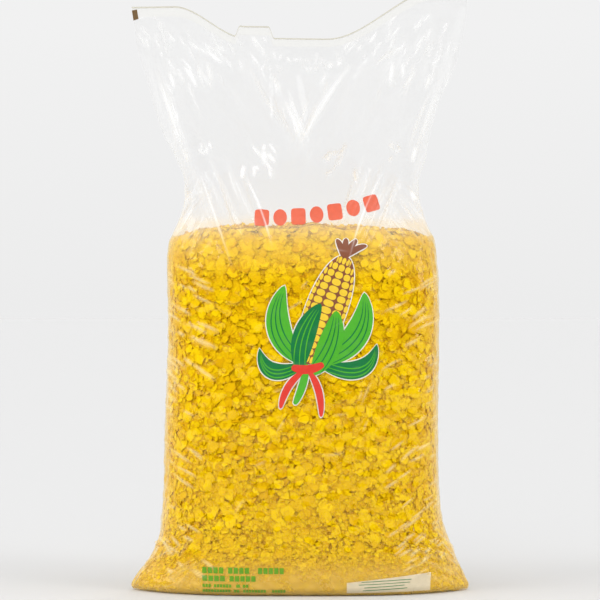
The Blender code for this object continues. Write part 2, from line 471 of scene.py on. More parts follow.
HALF_WIDTH = 0.248
HALF_WELD = 0.0022
TOP_HEIGHT = 0.856
HEAD_START = 0.591
SECTIONS = tuple(Section(*row) for row in (
    (0.000, 0.2440, 0.2455, 0.088, 3.2, 0.90),
    (0.007, HALF_WIDTH, HALF_WIDTH, 0.099, 3.2, 0.86),
    (0.019, 0.2425, 0.2430, 0.105, 3.1, 0.78),
    (0.041, 0.2240, 0.2320, 0.109, 3.0, 0.64),
    (0.073, 0.2085, 0.2190, 0.111, 2.8, 0.52),
    (0.111, 0.2030, 0.2075, 0.112, 2.7, 0.45),
    (0.241, 0.1985, 0.2025, 0.111, 2.6, 0.41),
    (0.391, 0.1935, 0.2040, 0.106, 2.6, 0.41),
    (0.481, 0.1955, 0.2010, 0.098, 2.6, 0.42),
    (0.511, 0.1915, 0.1975, 0.089, 2.5, 0.44),
    (0.541, 0.1790, 0.1850, 0.076, 2.4, 0.47),
    (HEAD_START, 0.1675, 0.1740, 0.059, 2.2, 0.52),
    (0.631, 0.1790, 0.1842, 0.047, 2.0, 0.56),
    (0.661, 0.1965, 0.1895, 0.038, 2.0, 0.60),
    (0.701, 0.2117, 0.2010, 0.028, 2.0, 0.62),
    (0.756, 0.2275, 0.2295, 0.013, 2.0, 0.62),
    (0.797, 0.2400, 0.2405, 0.004, 5.0, 0.55),
    (0.831, 0.2440, 0.2450, HALF_WELD, 10.0, 0.50),
    (TOP_HEIGHT, HALF_WIDTH, 0.2450, HALF_WELD, 10.0, 0.50),
))
FOLDS = tuple(Fold(*row) for row in (
    ((-0.165, 0.581), (-0.232, 0.841), 0.0070),
    ((-0.148, 0.601), (-0.182, 0.836), 0.0060),
    ((-0.120, 0.631), (-0.108, 0.791), 0.0045),
    ((0.007, 0.656), (-0.016, 0.786), 0.0045),
    ((0.007, 0.656), (0.074, 0.781), 0.0050),
    ((0.128, 0.591), (0.182, 0.851), 0.0060),
    ((0.160, 0.581), (0.228, 0.861), 0.0070),
    ((-0.143, 0.611), (-0.097, 0.476), 0.0055),
    ((-0.078, 0.601), (-0.040, 0.506), 0.0040),
    ((0.116, 0.611), (0.069, 0.476), 0.0055),
    ((0.020, 0.631), (0.012, 0.546), 0.0035),
))


@dataclass(frozen=True)
class BagShape:
    """The smooth bag, its broad folds and the level of the flakes in it."""

    sag_height: float = 0.8105
    left_climb: tuple[float, float, float] = (0.080, 0.105, 0.0465)
    right_climb: tuple[float, float, float] = (0.040, 0.170, 0.0745)
    tab_middle: float = -0.067
    tab_width: float = 0.050
    tab_rise: float = 0.017
    tab_slope: float = 0.008
    top_wave: float = 0.009
    wave_length: float = 0.34
    wave_phase: float = 0.6
    fold_width: float = 0.011
    thin_depth: float = 0.006
    thick_depth: float = 0.026
    fill_height: float = 0.533  # of the flakes in the middle
    fill_drop: float = 0.017  # how much lower they lie at the sides
    reference_height: float = 0.30  # the section whose length sets how points are spread round the bag
    heap_half: tuple[float, float] = (0.185, 0.09)  # how far the heap reaches across and to the front
    heap_lump: float = 0.0018
    side_gap: float = 0.0045  # between the flakes and the film's side edges
    side_reach: float = 0.36
    gap_start: float = 0.07  # height above which the film stands off the flakes
    gap_rise: float = 0.10
    deepest: float = 0.8  # of the way from the film to the bag's middle
    least_slope: float = 0.02

    def section(self, height: Array) -> tuple[Array, ...]:
        """Reads the sections at any heights along monotone cubics, so no curve passes a section.

        Args:
            height: heights, in metres.

        Returns:
            Arrays of left, right, depth, fullness and edge.
        """
        table = np.array(SECTIONS)
        heights, values = table[:, 0], table[:, 1:]
        slopes = np.gradient(values, heights, axis=0)
        steps = np.diff(values, axis=0) / np.diff(heights)[:, None]
        slopes[1:-1][steps[1:] * steps[:-1] <= 0.0] = 0.0
        limit = 3.0 * np.minimum(np.abs(steps[1:]), np.abs(steps[:-1]))
        slopes[1:-1] = np.clip(slopes[1:-1], -limit, limit)
        index = np.clip(np.searchsorted(heights, height, side="right") - 1, 0, len(heights) - 2)
        gap = (heights[index + 1] - heights[index])[..., None]
        share = np.clip((height - heights[index])[..., None] / gap, 0.0, 1.0)
        squared = share * share
        cubed = squared * share
        found = ((2.0 * cubed - 3.0 * squared + 1.0) * values[index]
                 + (cubed - 2.0 * squared + share) * gap * slopes[index]
                 + (3.0 * squared - 2.0 * cubed) * values[index + 1]
                 + (cubed - squared) * gap * slopes[index + 1])
        return tuple(np.moveaxis(found, -1, 0))

    def top_edge(self, x: Array) -> Array:
        """Height of the top edge: a sag that climbs to both corners, with a tab where a pleat stands up."""
        tab = smooth_step((self.tab_width / 2.0 - np.abs(x - self.tab_middle)) / self.tab_slope + 0.5)
        left_start, left_length, left_rise = self.left_climb
        right_start, right_length, right_rise = self.right_climb
        left = left_rise * climb(-x, left_start, left_length)
        right = right_rise * climb(x, right_start, right_length)
        return self.sag_height + left + right + self.tab_rise * tab

    def smooth(self, angle: Array, height: Array) -> Array:
        """Points of the smooth bag.

        Width goes with the cosine of the angle, and depth is a power curve of it. Above HEAD_START
        heights are stretched to meet the top edge, and the film waves towards the front and back.

        Args:
            angle: round the section.
            height: before the head is stretched.

        Returns:
            Points, with x, y and z on the last axis.
        """
        left, right, depth, fullness, edge = self.section(height)
        across = -np.cos(angle)
        x = (right - left) / 2.0 + (left + right) / 2.0 * across
        share = np.clip((height - HEAD_START) / (TOP_HEIGHT - HEAD_START), 0.0, 1.0)
        wave = self.top_wave * share**2 * np.sin(TURN * x / self.wave_length + self.wave_phase)
        z = np.where(height > HEAD_START, HEAD_START + share * (self.top_edge(x) - HEAD_START), height)
        y = facing(angle) * depth * bulge(across, fullness, edge) + wave
        return np.stack([x, y, z], axis=-1)

    def outward(self, angle: Array, height: Array) -> Array:
        """Directions out of the smooth bag: the cross product of its slopes round and up."""
        step = 1e-4  # as an angle and as a height
        round_it = self.smooth(angle + step, height) - self.smooth(angle - step, height)
        up = self.smooth(angle, height + step) - self.smooth(angle, height - step)
        return unit(np.cross(round_it, up))

    def half_depth(self, angle: Array, height: Array) -> Array:
        """Half the distance between the front and back films."""
        _, _, depth, fullness, edge = self.section(height)
        return depth * bulge(np.cos(angle), fullness, edge)

    def apartness(self, angle: Array, height: Array) -> Array:
        """0 at the side edges and in the flat head, 1 where the two films are well apart."""
        return climb(self.half_depth(angle, height), self.thin_depth, self.thick_depth - self.thin_depth)

    def ridges(self, x: Array, z: Array) -> Array:
        """How far the broad folds stand out: round ridges along straight lines, low at the ends."""
        total = np.zeros_like(x)
        for fold in FOLDS:
            start = np.array(fold.start)
            along = np.array(fold.end) - start
            length = math.hypot(*along)
            way = ((x - start[0]) * along[0] + (z - start[1]) * along[1]) / length**2
            offset = ((x - start[0]) * along[1] - (z - start[1]) * along[0]) / length
            taper = np.sin(math.pi * np.clip(way, 0.0, 1.0)) ** 0.5
            total = np.maximum(total, fold.height * taper * hill(offset, self.fold_width))
        return total

    def fold_shift(self, angle: Array, points: Array) -> Array:
        """How far the broad folds push the film back, which is negative at the front."""
        x, z = points[..., 0], points[..., 2]
        apart = self.apartness(angle, z)
        front = self.ridges(x, z)
        back = apart * self.ridges(-x, z) - (1.0 - apart) * front
        return np.where(np.sin(angle) >= 0.0, -front, back)

    def inside(self, angle: Array, height: Array, deep: Array) -> Array:
        """Points at a depth under the film, but never past most of the way to the bag's middle."""
        normal = self.outward(angle, height)
        loose = climb(height, self.gap_start, self.gap_rise)
        deep = deep + self.side_gap * loose * hill(np.sin(angle), self.side_reach)
        slope = np.maximum(np.abs(normal[..., 1]), self.least_slope)
        room = self.deepest * self.half_depth(angle, height) / slope
        return self.smooth(angle, height) - normal * np.minimum(deep, room)[..., None]

    def fill_line(self, x: Array, y: Array) -> Array:
        """Height of the heap of flakes: a low dome with a few lumps."""
        fall = np.abs(x / self.heap_half[0]) ** 3 + 0.5 * np.abs(y / self.heap_half[1]) ** 3
        lumps = np.sin(x / 0.021 + 0.7) + np.sin(x / 0.0127 + y / 0.03 + 2.0)
        return self.fill_height - self.fill_drop * np.clip(fall, 0.0, 1.6) + self.heap_lump * lumps

    def on_front(self, x: Array, z: Array) -> tuple[Array, Array]:
        """Angle and height of the front film's point at a place (x, z)."""
        share = (z - HEAD_START) / (self.top_edge(x) - HEAD_START)
        height = np.where(z <= HEAD_START, z, HEAD_START + share * (TOP_HEIGHT - HEAD_START))
        left, right = self.section(height)[:2]
        return np.arccos(np.clip(-share_across(x, left, right), -1.0, 1.0)), height


class Girth:
    """Turns distances round the bag into angles, from the arc length of one section."""

    def __init__(self, bag: BagShape, samples: int = 4000) -> None:
        """Measures the section at the reference height."""
        self.angles = np.linspace(0.0, TURN, samples + 1)
        ring = bag.smooth(self.angles, np.full(samples + 1, bag.reference_height))[:, :2]
        steps = np.linalg.norm(np.diff(ring, axis=0), axis=1)
        self.distances = np.concatenate([[0.0], np.cumsum(steps)])
        self.length = self.distances[-1]

    def angle(self, distance: Array) -> Array:
        """Angle at a distance round the bag, which may run past the start."""
        return np.interp(np.mod(distance, self.length), self.distances, self.angles)

    def distance(self, angle: Array) -> Array:
        """Distance round the bag at an angle."""
        return np.interp(np.mod(angle, TURN), self.angles, self.distances)


# The film.


class FilmSide(Enum):
    """Which of the tube's two faces a sheet of film is."""

    FRONT = "front"
    BACK = "back"


class FilmPart(Enum):
    """Which part of a face a sheet covers: round the flakes, or the empty head above them."""

    BODY = "body"
    HEAD = "head"


class Bundle(NamedTuple):
    """A seeded group of fine creases round one place of a face, in metres and degrees."""

    middle: tuple[float, float]
    spread: tuple[float, float]
    turn: float  # direction of the creases, anticlockwise from the right
    fan: float
    length: tuple[float, float]
    height: tuple[float, float]
    width: tuple[float, float]
    count: int
    scuff_and_glint: float  # how milky the film is along them: scuffing, and a painted highlight on their crests


class Streak(NamedTuple):
    """One long crease with a pale streak, partly a painted highlight, from one place (x, z) to another, in
    metres.
    """

    start: tuple[float, float]
    end: tuple[float, float]
    height: float
    width: float
    scuff_and_glint: float


# the last number of each row is the scuff along the creases, which is partly a painted highlight
BUNDLES = tuple(Bundle(*row) for row in (
    ((-0.198, 0.7), (0.024, 0.08), 104.5, 4, (0.1, 0.22), (0.0009, 0.002), (0.006, 0.011), 10, 0.06),
    ((0.192, 0.7), (0.024, 0.08), 76.0, 4, (0.1, 0.22), (0.0008, 0.0018), (0.006, 0.011), 9, 0.03),
    ((-0.14, 0.79), (0.09, 0.02), 122, 16, (0.01, 0.03), (0.0005, 0.0012), (0.0026, 0.0046), 26, 0.26),
    ((0.0, 0.775), (0.07, 0.012), 95, 35, (0.008, 0.018), (0.0005, 0.0012), (0.0026, 0.0046), 16, 0.26),
    ((0.145, 0.815), (0.09, 0.026), 58, 18, (0.01, 0.032), (0.0005, 0.0012), (0.0026, 0.0046), 36, 0.28),
    ((-0.16, 0.745), (0.05, 0.025), 112, 10, (0.02, 0.045), (0.0006, 0.0014), (0.0034, 0.006), 8, 0.22),
    ((0.165, 0.765), (0.05, 0.025), 70, 10, (0.02, 0.045), (0.0005, 0.001), (0.004, 0.006), 5, 0.12),
    ((-0.08, 0.71), (0.09, 0.06), 112, 16, (0.04, 0.1), (0.0008, 0.0016), (0.0055, 0.01), 12, 0.05),
    ((0.08, 0.71), (0.09, 0.06), 66, 16, (0.04, 0.1), (0.0008, 0.0014), (0.0055, 0.01), 11, 0.03),
    ((-0.053, 0.63), (0.014, 0.022), 118, 35, (0.01, 0.024), (0.0006, 0.0014), (0.0034, 0.006), 10, 0.45),
    ((-0.139, 0.643), (0.009, 0.01), 100, 35, (0.008, 0.016), (0.0006, 0.0014), (0.003, 0.005), 6, 0.4),
    ((-0.16, 0.548), (0.028, 0.035), 60, 12, (0.04, 0.09), (0.001, 0.002), (0.003, 0.006), 9, 0.12),
    ((0.165, 0.548), (0.028, 0.035), 125, 12, (0.04, 0.09), (0.001, 0.002), (0.003, 0.006), 9, 0.12),
    ((-0.11, 0.575), (0.045, 0.03), 110, 8, (0.07, 0.13), (0.001, 0.002), (0.0034, 0.007), 7, 0.12),
    ((0.11, 0.575), (0.045, 0.03), 68, 8, (0.07, 0.13), (0.001, 0.002), (0.0034, 0.007), 7, 0.12),
    ((-0.16, 0.25), (0.028, 0.22), 148, 10, (0.015, 0.042), (0.0007, 0.0014), (0.0024, 0.0044), 30, 0.52),
    ((0.158, 0.25), (0.03, 0.22), 32, 10, (0.015, 0.042), (0.0007, 0.0014), (0.0024, 0.0044), 30, 0.5),
    ((-0.188, 0.25), (0.008, 0.23), 150, 14, (0.008, 0.02), (0.0003, 0.0008), (0.0024, 0.004), 30, 0.36),
    ((0.192, 0.25), (0.008, 0.23), 30, 14, (0.008, 0.02), (0.0003, 0.0008), (0.0024, 0.004), 30, 0.36),
    ((0.0, 0.3), (0.12, 0.2), 30, 50, (0.015, 0.04), (0.0002, 0.0005), (0.0026, 0.0045), 14, 0.24),
    ((-0.195, 0.045), (0.035, 0.03), 42, 24, (0.03, 0.08), (0.0008, 0.0018), (0.0025, 0.0045), 14, 0.16),
    ((-0.165, 0.06), (0.035, 0.03), 146, 12, (0.01, 0.03), (0.0007, 0.0014), (0.0025, 0.0045), 8, 0.6),
    ((0.214, 0.045), (0.022, 0.03), 138, 24, (0.03, 0.08), (0.0008, 0.0018), (0.0025, 0.0045), 14, 0.16),
    ((0.175, 0.07), (0.035, 0.022), 38, 14, (0.01, 0.03), (0.0007, 0.0014), (0.0025, 0.0045), 12, 0.55),
))
STREAKS = tuple(Streak(*row) for row in (
    ((-0.148, 0.617), (-0.096, 0.47), 0.0022, 0.0028, 0.55),
    ((-0.08, 0.608), (-0.039, 0.499), 0.0022, 0.0028, 0.6),
    ((0.122, 0.614), (0.068, 0.473), 0.002, 0.0028, 0.5),
    ((-0.151, 0.57), (-0.186, 0.512), 0.0018, 0.0026, 0.45),
    ((-0.15, 0.517), (-0.161, 0.489), 0.0016, 0.0024, 0.35),
    ((0.076, 0.772), (0.012, 0.668), 0.0018, 0.007, 0.3),
    ((-0.026, 0.722), (0.004, 0.65), 0.0018, 0.008, 0.35),
    ((-0.018, 0.735), (0.012, 0.652), 0.0014, 0.005, 0.3),
    ((0.044, 0.735), (0.006, 0.656), 0.0014, 0.006, 0.25),
    ((-0.04, 0.752), (-0.032, 0.722), 0.0012, 0.006, 0.25),
    ((0.04, 0.762), (0.03, 0.736), 0.0012, 0.005, 0.25),
    ((0.136, 0.78), (0.132, 0.735), 0.0016, 0.0054, 0.4),
    ((0.15, 0.775), (0.15, 0.748), 0.0016, 0.005, 0.4),
    ((-0.081, 0.622), (-0.084, 0.6), 0.0016, 0.005, 0.7),
    ((-0.072, 0.654), (-0.033, 0.601), 0.0018, 0.0034, 0.3),
    ((-0.212, 0.76), (-0.162, 0.622), 0.0026, 0.007, 0.35),
    ((-0.196, 0.74), (-0.158, 0.635), 0.0022, 0.005, 0.3),
    ((0.222, 0.8), (0.178, 0.62), 0.0024, 0.006, 0.22),
    ((0.17, 0.65), (0.164, 0.625), 0.0014, 0.006, 0.5),
    ((0.161, 0.586), (0.17, 0.57), 0.0014, 0.006, 0.6),
    ((-0.172, 0.77), (-0.15, 0.735), 0.0018, 0.0054, 0.6),
    ((-0.14, 0.795), (-0.112, 0.772), 0.0016, 0.005, 0.6),
    ((-0.192, 0.76), (-0.184, 0.735), 0.0016, 0.005, 0.6),
))
CREASE_SEEDS = {FilmSide.FRONT: 31, FilmSide.BACK: 57}


@dataclass
class FilmRelief:
    """The film's fine creases, and the soft bumps where flakes press it out."""

    bag: BagShape
    girth: Girth
    press: float = 0.0013
    press_cell: float = 0.015
    press_width: float = 0.0062
    press_jitter: float = 0.38  # of a cell
    press_seed: int = 12
    press_power: float = 1.5  # makes low bumps more common than high ones
    press_low: tuple[float, float] = (0.004, 0.03)  # where the bumps begin, and over what height they grow
    press_high: tuple[float, float] = (0.004, 0.02)  # how far under the heap's top they end, in the same way
    steepness: float = 0.40  # of a crease's sharp side, against its gentle one
    bow: float = 0.04  # of a crease's length
    bow_turn: float = 2.3  # angle from one crease's bow to the next one's, in radians
    steep_turn: float = 1.7  # the same for the choice of the steep side
    end_power: float = 0.7  # how bluntly a crease ends
    reach: tuple[float, float] = (3.0, 0.06)  # widths and lengths beyond a crease where it still counts
    glint_crest_share: float = 0.5  # of a crease's width, over which it is scuffed and carries a painted highlight

    def crease_lines(self, side: FilmSide) -> list[Streak]:
        """Every fine crease of one face; the back has the same groups, mirrored and with another seed."""
        draw = np.random.default_rng(CREASE_SEEDS[side])
        lines = list(STREAKS)
        for bundle in BUNDLES:
            away = draw.uniform(-1.0, 1.0, (bundle.count, 2)) * bundle.spread
            middle = np.array(bundle.middle) + away
            turn = np.radians(bundle.turn + draw.uniform(-bundle.fan, bundle.fan, bundle.count))
            half = draw.uniform(*bundle.length, bundle.count)[:, None] / 2.0
            way = np.stack([np.cos(turn), np.sin(turn)], axis=1) * half
            heights = draw.uniform(*bundle.height, bundle.count)
            widths = draw.uniform(*bundle.width, bundle.count)
            lines += [Streak(tuple(low), tuple(high), rise, wide, bundle.scuff_and_glint)
                      for low, high, rise, wide in zip(middle - way, middle + way, heights, widths)]
        if side is FilmSide.BACK:
            lines = [line._replace(start=(-line.start[0], line.start[1]), end=(-line.end[0], line.end[1]))
                     for line in lines]
        return lines

    def creases(self, side: FilmSide, x: Array, z: Array) -> tuple[Array, Array]:
        """The fine creases: ridges with one gentle and one steep side, bowed a little.

        Args:
            side: the face.
            x: across the face.
            z: up the face.

        Returns:
            How far they stand out, in metres, and the scuffing and painted highlight along their crests.
        """
        total = np.zeros(x.size)
        scuff_and_glint = np.zeros(x.size)
        flat_x, flat_z = x.ravel(), z.ravel()
        for number, line in enumerate(self.crease_lines(side)):
            start = np.array(line.start)
            along = np.array(line.end) - start
            length = math.hypot(*along)
            reach = self.reach[0] * line.width + self.reach[1] * length
            low = np.minimum(line.start, line.end) - reach
            high = np.maximum(line.start, line.end) + reach
            within = (flat_x > low[0]) & (flat_x < high[0]) & (flat_z > low[1]) & (flat_z < high[1])
            near = np.flatnonzero(within)
            away_x, away_z = flat_x[near] - start[0], flat_z[near] - start[1]
            way = (away_x * along[0] + away_z * along[1]) / length**2
            taper = np.sin(math.pi * np.clip(way, 0.0, 1.0))
            bow = self.bow * length * math.sin(self.bow_turn * number)
            offset = (away_x * along[1] - away_z * along[0]) / length + bow * taper
            gentle = offset * math.cos(self.steep_turn * number) > 0.0
            wide = np.where(gentle, line.width, self.steepness * line.width)
            total[near] += line.height * taper**self.end_power * hill(offset, wide)
            glint_crest = hill(offset, self.glint_crest_share * line.width)
            # the scuff along a crease's crest is partly scuffing and partly a painted highlight
            scuff_and_glint[near] = np.maximum(scuff_and_glint[near], line.scuff_and_glint * taper * glint_crest)
        return total.reshape(x.shape), scuff_and_glint.reshape(x.shape)

    def pressed(self, angle: Array, height: Array) -> Array:
        """Soft bumps over the flakes: the sum of round hills on a jittered lattice, each its own height."""
        draw = np.random.default_rng(self.press_seed)
        columns = int(self.girth.length / self.press_cell)
        rows = int(self.bag.fill_height / self.press_cell) + 2
        jitter = draw.uniform(-self.press_jitter, self.press_jitter, (2, rows, columns))
        rise = draw.uniform(0.0, 1.0, (rows, columns)) ** self.press_power
        round_it = self.girth.distance(angle) / self.girth.length * columns
        up = height / self.press_cell
        total = np.zeros(angle.shape)
        for row_step in (-1, 0, 1):
            for column_step in (-1, 0, 1):
                row = np.clip(np.floor(up).astype(int) + row_step, 0, rows - 1)
                column = np.floor(round_it).astype(int) + column_step
                wrapped = np.mod(column, columns)
                gap_up = up - (row + 0.5 + jitter[0][row, wrapped])
                gap_round = round_it - (column + 0.5 + jitter[1][row, wrapped])
                gap = (gap_up**2 + gap_round**2) * (self.press_cell / self.press_width) ** 2
                total += rise[row, wrapped] * np.exp(-gap)
        under, fade = self.press_high
        filled = drop(height, self.bag.fill_height - under, fade) * climb(height, *self.press_low)
        return self.press * total * filled


@dataclass
class Film:
    """The tube of clear film: a sheet for the body and one for the head on each face, and the flat base."""

    bag: BagShape
    girth: Girth
    relief: FilmRelief
    body_rows: int = 280
    head_rows: int = 225
    front_columns: int = 330
    back_columns: int = 200
    floor_gap: float = 0.0004
    pinch_start: float = 0.815  # where the two films begin to draw together
    weld_start: float = 0.841
    weld_half: float = 0.0006  # half the thickness of the two films welded
    weld_crease: float = 0.25  # of the creases that is left in the weld
    rim_height: float = 0.0022
    rim_swell: float = 1.3
    rib: float = 0.00012
    rib_pitch: float = 0.0022
    base_grid: tuple[int, int] = (121, 41)
    weld_grid: tuple[int, int] = (361, 9)
    calm_side: float = 0.10  # sine of the angle at which creases have their full height
    calm_base: tuple[float, float] = (0.002, 0.012)  # height at which they begin, and over which they grow
    upper_hazy: tuple[float, float] = (-0.08, 0.06)  # from the heap's top: the start, and how far to the full
    head_hazy: tuple[float, float] = (-0.02, 0.09)
    heap_hazy: tuple[float, float] = (-0.004, 0.018)  # the middle of a hill, and its reach
    upper_dusty: tuple[float, float] = (-0.10, 0.08)
    upper_dust_end: float = 0.02
    heap_dusty: tuple[float, float] = (0.003, 0.009)
    base_dusty: tuple[float, float] = (0.070, 0.055)  # the height at which it ends, and how far from the full
    ear_start: float = 0.150  # how far from the middle the dust of the base thins out
    ear_reach: float = 0.060
    ear_loss: float = 0.65
    warm_end: tuple[float, float] = (0.010, 0.040)
    head_haze: float = 0.05
    upper_haze: float = 0.12
    heap_haze: float = 0.09
    most_haze: float = 0.7
    base_dust: float = 0.50
    heap_dust: float = 0.17
    upper_dust: float = 0.07
    most_dust: float = 0.75

    def points(self, angle: Array, height: Array, lift: Array | float = 0.0) -> Array:
        """Points of the film: the smooth bag, pushed out by folds, creases and flakes.

        Args:
            angle: round the section.
            height: before the head is stretched.
            lift: distance outside the film, for what is printed on it.

        Returns:
            Points, with x, y and z on the last axis.
        """
        smooth = self.bag.smooth(angle, height)
        side = FilmSide.FRONT if float(np.mean(np.sin(angle))) >= 0.0 else FilmSide.BACK
        out = self.relief.pressed(angle, height)
        out += self.relief.creases(side, smooth[..., 0], smooth[..., 2])[0] * self.calm(angle, height)
        points = smooth + self.bag.outward(angle, height) * (out + lift)[..., None]
        points[..., 1] += self.bag.fold_shift(angle, smooth)
        pinch = climb(height, self.pinch_start, self.weld_start - self.pinch_start)
        middle = self.middle_line(smooth)
        kept = facing(angle) * (self.weld_half + self.weld_crease * out + lift)
        points[..., 1] = (1.0 - pinch) * points[..., 1] + pinch * (middle + kept)
        points[..., 2] = np.maximum(points[..., 2], self.floor_gap)
        return points

    def middle_line(self, smooth: Array) -> Array:
        """How far the two welded films stand from the middle plane: the head's wave and its broad folds."""
        x, z = smooth[..., 0], smooth[..., 2]
        wave = self.bag.top_wave * np.sin(TURN * x / self.bag.wave_length + self.bag.wave_phase)
        return wave - self.bag.ridges(x, z)

    def calm(self, angle: Array, height: Array) -> Array:
        """1 over most of the film, and 0 along the side edges and the base, where sheets meet."""
        return climb(np.abs(np.sin(angle)), 0.0, self.calm_side) * climb(height, *self.calm_base)

    def haze_and_glint(self, side: FilmSide, points: Array) -> Array:
        """How milky the film is: scuffed along creases, where it is also a painted highlight, and hazier in
        the head and over the heap's top.
        """
        scuff_and_glint = self.relief.creases(side, points[..., 0], points[..., 2])[1]
        above = points[..., 2] - self.bag.fill_height
        heap = hill(above - self.heap_hazy[0], self.heap_hazy[1])
        upper = climb(above, *self.upper_hazy)
        head = climb(above, *self.head_hazy)
        milk_and_glint = self.head_haze * head + self.upper_haze * upper * (1.0 - head) + scuff_and_glint + self.heap_haze * heap
        return np.clip(milk_and_glint, 0.0, self.most_haze)

    def warm(self, points: Array) -> Array:
        """How far the flakes tint the film's milkiness, by their dust and by their painted light: wholly over
        them, and not at all in the head.
        """
        return drop(points[..., 2], self.bag.fill_height + self.warm_end[0], self.warm_end[1])

    def dust(self, points: Array) -> Array:
        """How much maize dust clings to the film: thick near the base, and a little at the heap's top."""
        x, z = points[..., 0], points[..., 2]
        cloud = 0.5 + 0.5 * np.sin(x / 0.017 + 3.0 * np.sin(z / 0.012)) * np.sin(x / 0.0061 + z / 0.009)
        above = z - self.bag.fill_height
        base = drop(z, *self.base_dusty)
        heap = hill(above - self.heap_dusty[0], self.heap_dusty[1])
        upper = climb(above, *self.upper_dusty) * drop(z, self.bag.fill_height, self.upper_dust_end)
        ears = 1.0 - self.ear_loss * climb(np.abs(x), self.ear_start, self.ear_reach)
        low = self.base_dust * base * ears * (0.6 + 0.4 * cloud)
        high = self.heap_dust * heap * (0.4 + 0.6 * cloud)
        return np.clip(low + high + self.upper_dust * upper, 0.0, self.most_dust)

    def sheet(self, side: FilmSide, part: FilmPart) -> bpy.types.Object:
        """Builds one sheet, with normals from the whole face so that no seam shows between two sheets.

        Args:
            side: front or back.
            part: body or head.

        Returns:
            The sheet.
        """
        half = self.girth.distance(np.array([math.pi]))[0]
        if side is FilmSide.FRONT:
            ends, distances, columns = (0.0, math.pi), (0.0, half), self.front_columns
        else:
            ends, distances, columns = (math.pi, TURN), (half, self.girth.length), self.back_columns
        turns = self.girth.angle(np.linspace(*distances, columns + 1)[1:-1])
        nudge = 1e-7  # keeps both ends on this face
        ring = np.concatenate([[ends[0] + nudge], turns, [ends[1] - nudge]])
        body = np.linspace(0.0, HEAD_START, self.body_rows + 1)
        head = np.linspace(HEAD_START, self.weld_start, self.head_rows + 1)
        heights = np.concatenate([body, head[1:]])
        angle, height = np.meshgrid(ring, heights)
        points = self.points(angle, height)
        round_it = np.gradient(points, axis=1)
        up = np.gradient(points, axis=0)
        normal = unit(np.cross(round_it, up))
        rows = slice(0, len(body)) if part is FilmPart.BODY else slice(len(body) - 1, len(heights))
        points, normal = points[rows], normal[rows]
        piece = new_piece(f"film_{side.value}_{part.value}", points, grid_faces(*points.shape[:2]))
        piece.data.normals_split_custom_set_from_vertices(normal.reshape(-1, 3))
        add_attribute(piece, "haze_and_glint", self.haze_and_glint(side, points))
        add_attribute(piece, "warm", self.warm(points))
        add_attribute(piece, "dust", self.dust(points))
        return piece

    def base(self) -> bpy.types.Object:
        """The flat film that the bag stands on: a grid from the front edge of the base to its back edge."""
        nudge = 1e-4  # keeps the first and last columns from closing to a point
        across = np.linspace(nudge, math.pi - nudge, self.base_grid[0])
        angle, share = np.meshgrid(across, np.linspace(0.0, 1.0, self.base_grid[1]))
        front = self.points(angle, np.zeros_like(angle))
        back = self.points(TURN - angle, np.zeros_like(angle))
        points = front * (1.0 - share[..., None]) + back * share[..., None]
        points[..., 2] = self.floor_gap
        piece = new_piece("film_base", points, grid_faces(*points.shape[:2])[:, ::-1])
        for name, value in (("haze_and_glint", 0.05), ("warm", 1.0), ("dust", 0.4)):
            add_attribute(piece, name, np.full(points.shape[:2], value))
        return piece

    def weld(self) -> tuple[bpy.types.Object, bpy.types.Object]:
        """The welded band and its cut rim: flat closed strips round the middle of the two films.

        Returns:
            The band and the rim.
        """
        made = []
        across = np.linspace(0.0, math.pi, self.weld_grid[0])
        rim_start = TOP_HEIGHT - self.rim_height
        for name, low, high, half, rib in (
            ("weld_band", self.weld_start, rim_start, self.weld_half, self.rib),
            ("weld_rim", rim_start, TOP_HEIGHT, self.weld_half * self.rim_swell, 0.0),
        ):
            angle, height = np.meshgrid(across, np.linspace(low, high, self.weld_grid[1]))
            smooth = self.bag.smooth(angle, height)
            ribs = rib * np.sin(TURN * smooth[..., 2] / self.rib_pitch)
            middle = self.middle_line(smooth)
            front, back = smooth.copy(), smooth[:, ::-1].copy()
            front[..., 1] = middle - half + ribs
            back[..., 1] = (middle + half + ribs)[:, ::-1]
            ring = np.concatenate([front, back], axis=1)
            piece = new_piece(name, ring, grid_faces(*ring.shape[:2], closed=True))
            count = ring.shape[1]
            ends = np.arange(count // 2 - 1)
            low_cap = np.stack([ends, count - 1 - ends, count - 2 - ends, ends + 1], axis=1)
            self.close(piece, low_cap, (ring.shape[0] - 1) * count)
            piece.data.shade_flat()
            made.append(piece)
        return tuple(made)

    @staticmethod
    def close(piece: bpy.types.Object, cap: Array, last_row: int) -> None:
        """Closes a flat ring's lower and upper ends with strips from front to back."""
        shape = bmesh.new()
        shape.from_mesh(piece.data)
        shape.verts.ensure_lookup_table()
        for corners in cap:
            shape.faces.new([shape.verts[index] for index in corners])
            shape.faces.new([shape.verts[index + last_row] for index in corners[::-1]])
        bmesh.ops.recalc_face_normals(shape, faces=shape.faces)
        shape.to_mesh(piece.data)
        shape.free()

    def build(self) -> None:
        """Makes every sheet and the weld, and dresses them."""
        film = BlownFilm().material()
        for side in FilmSide:
            for part in FilmPart:
                place(self.sheet(side, part), [film])
        place(self.base(), [film])
        for piece, edge in zip(self.weld(), (WELD_BAND, WELD_RIM)):
            place(piece, [edge.material()])


# The flakes.


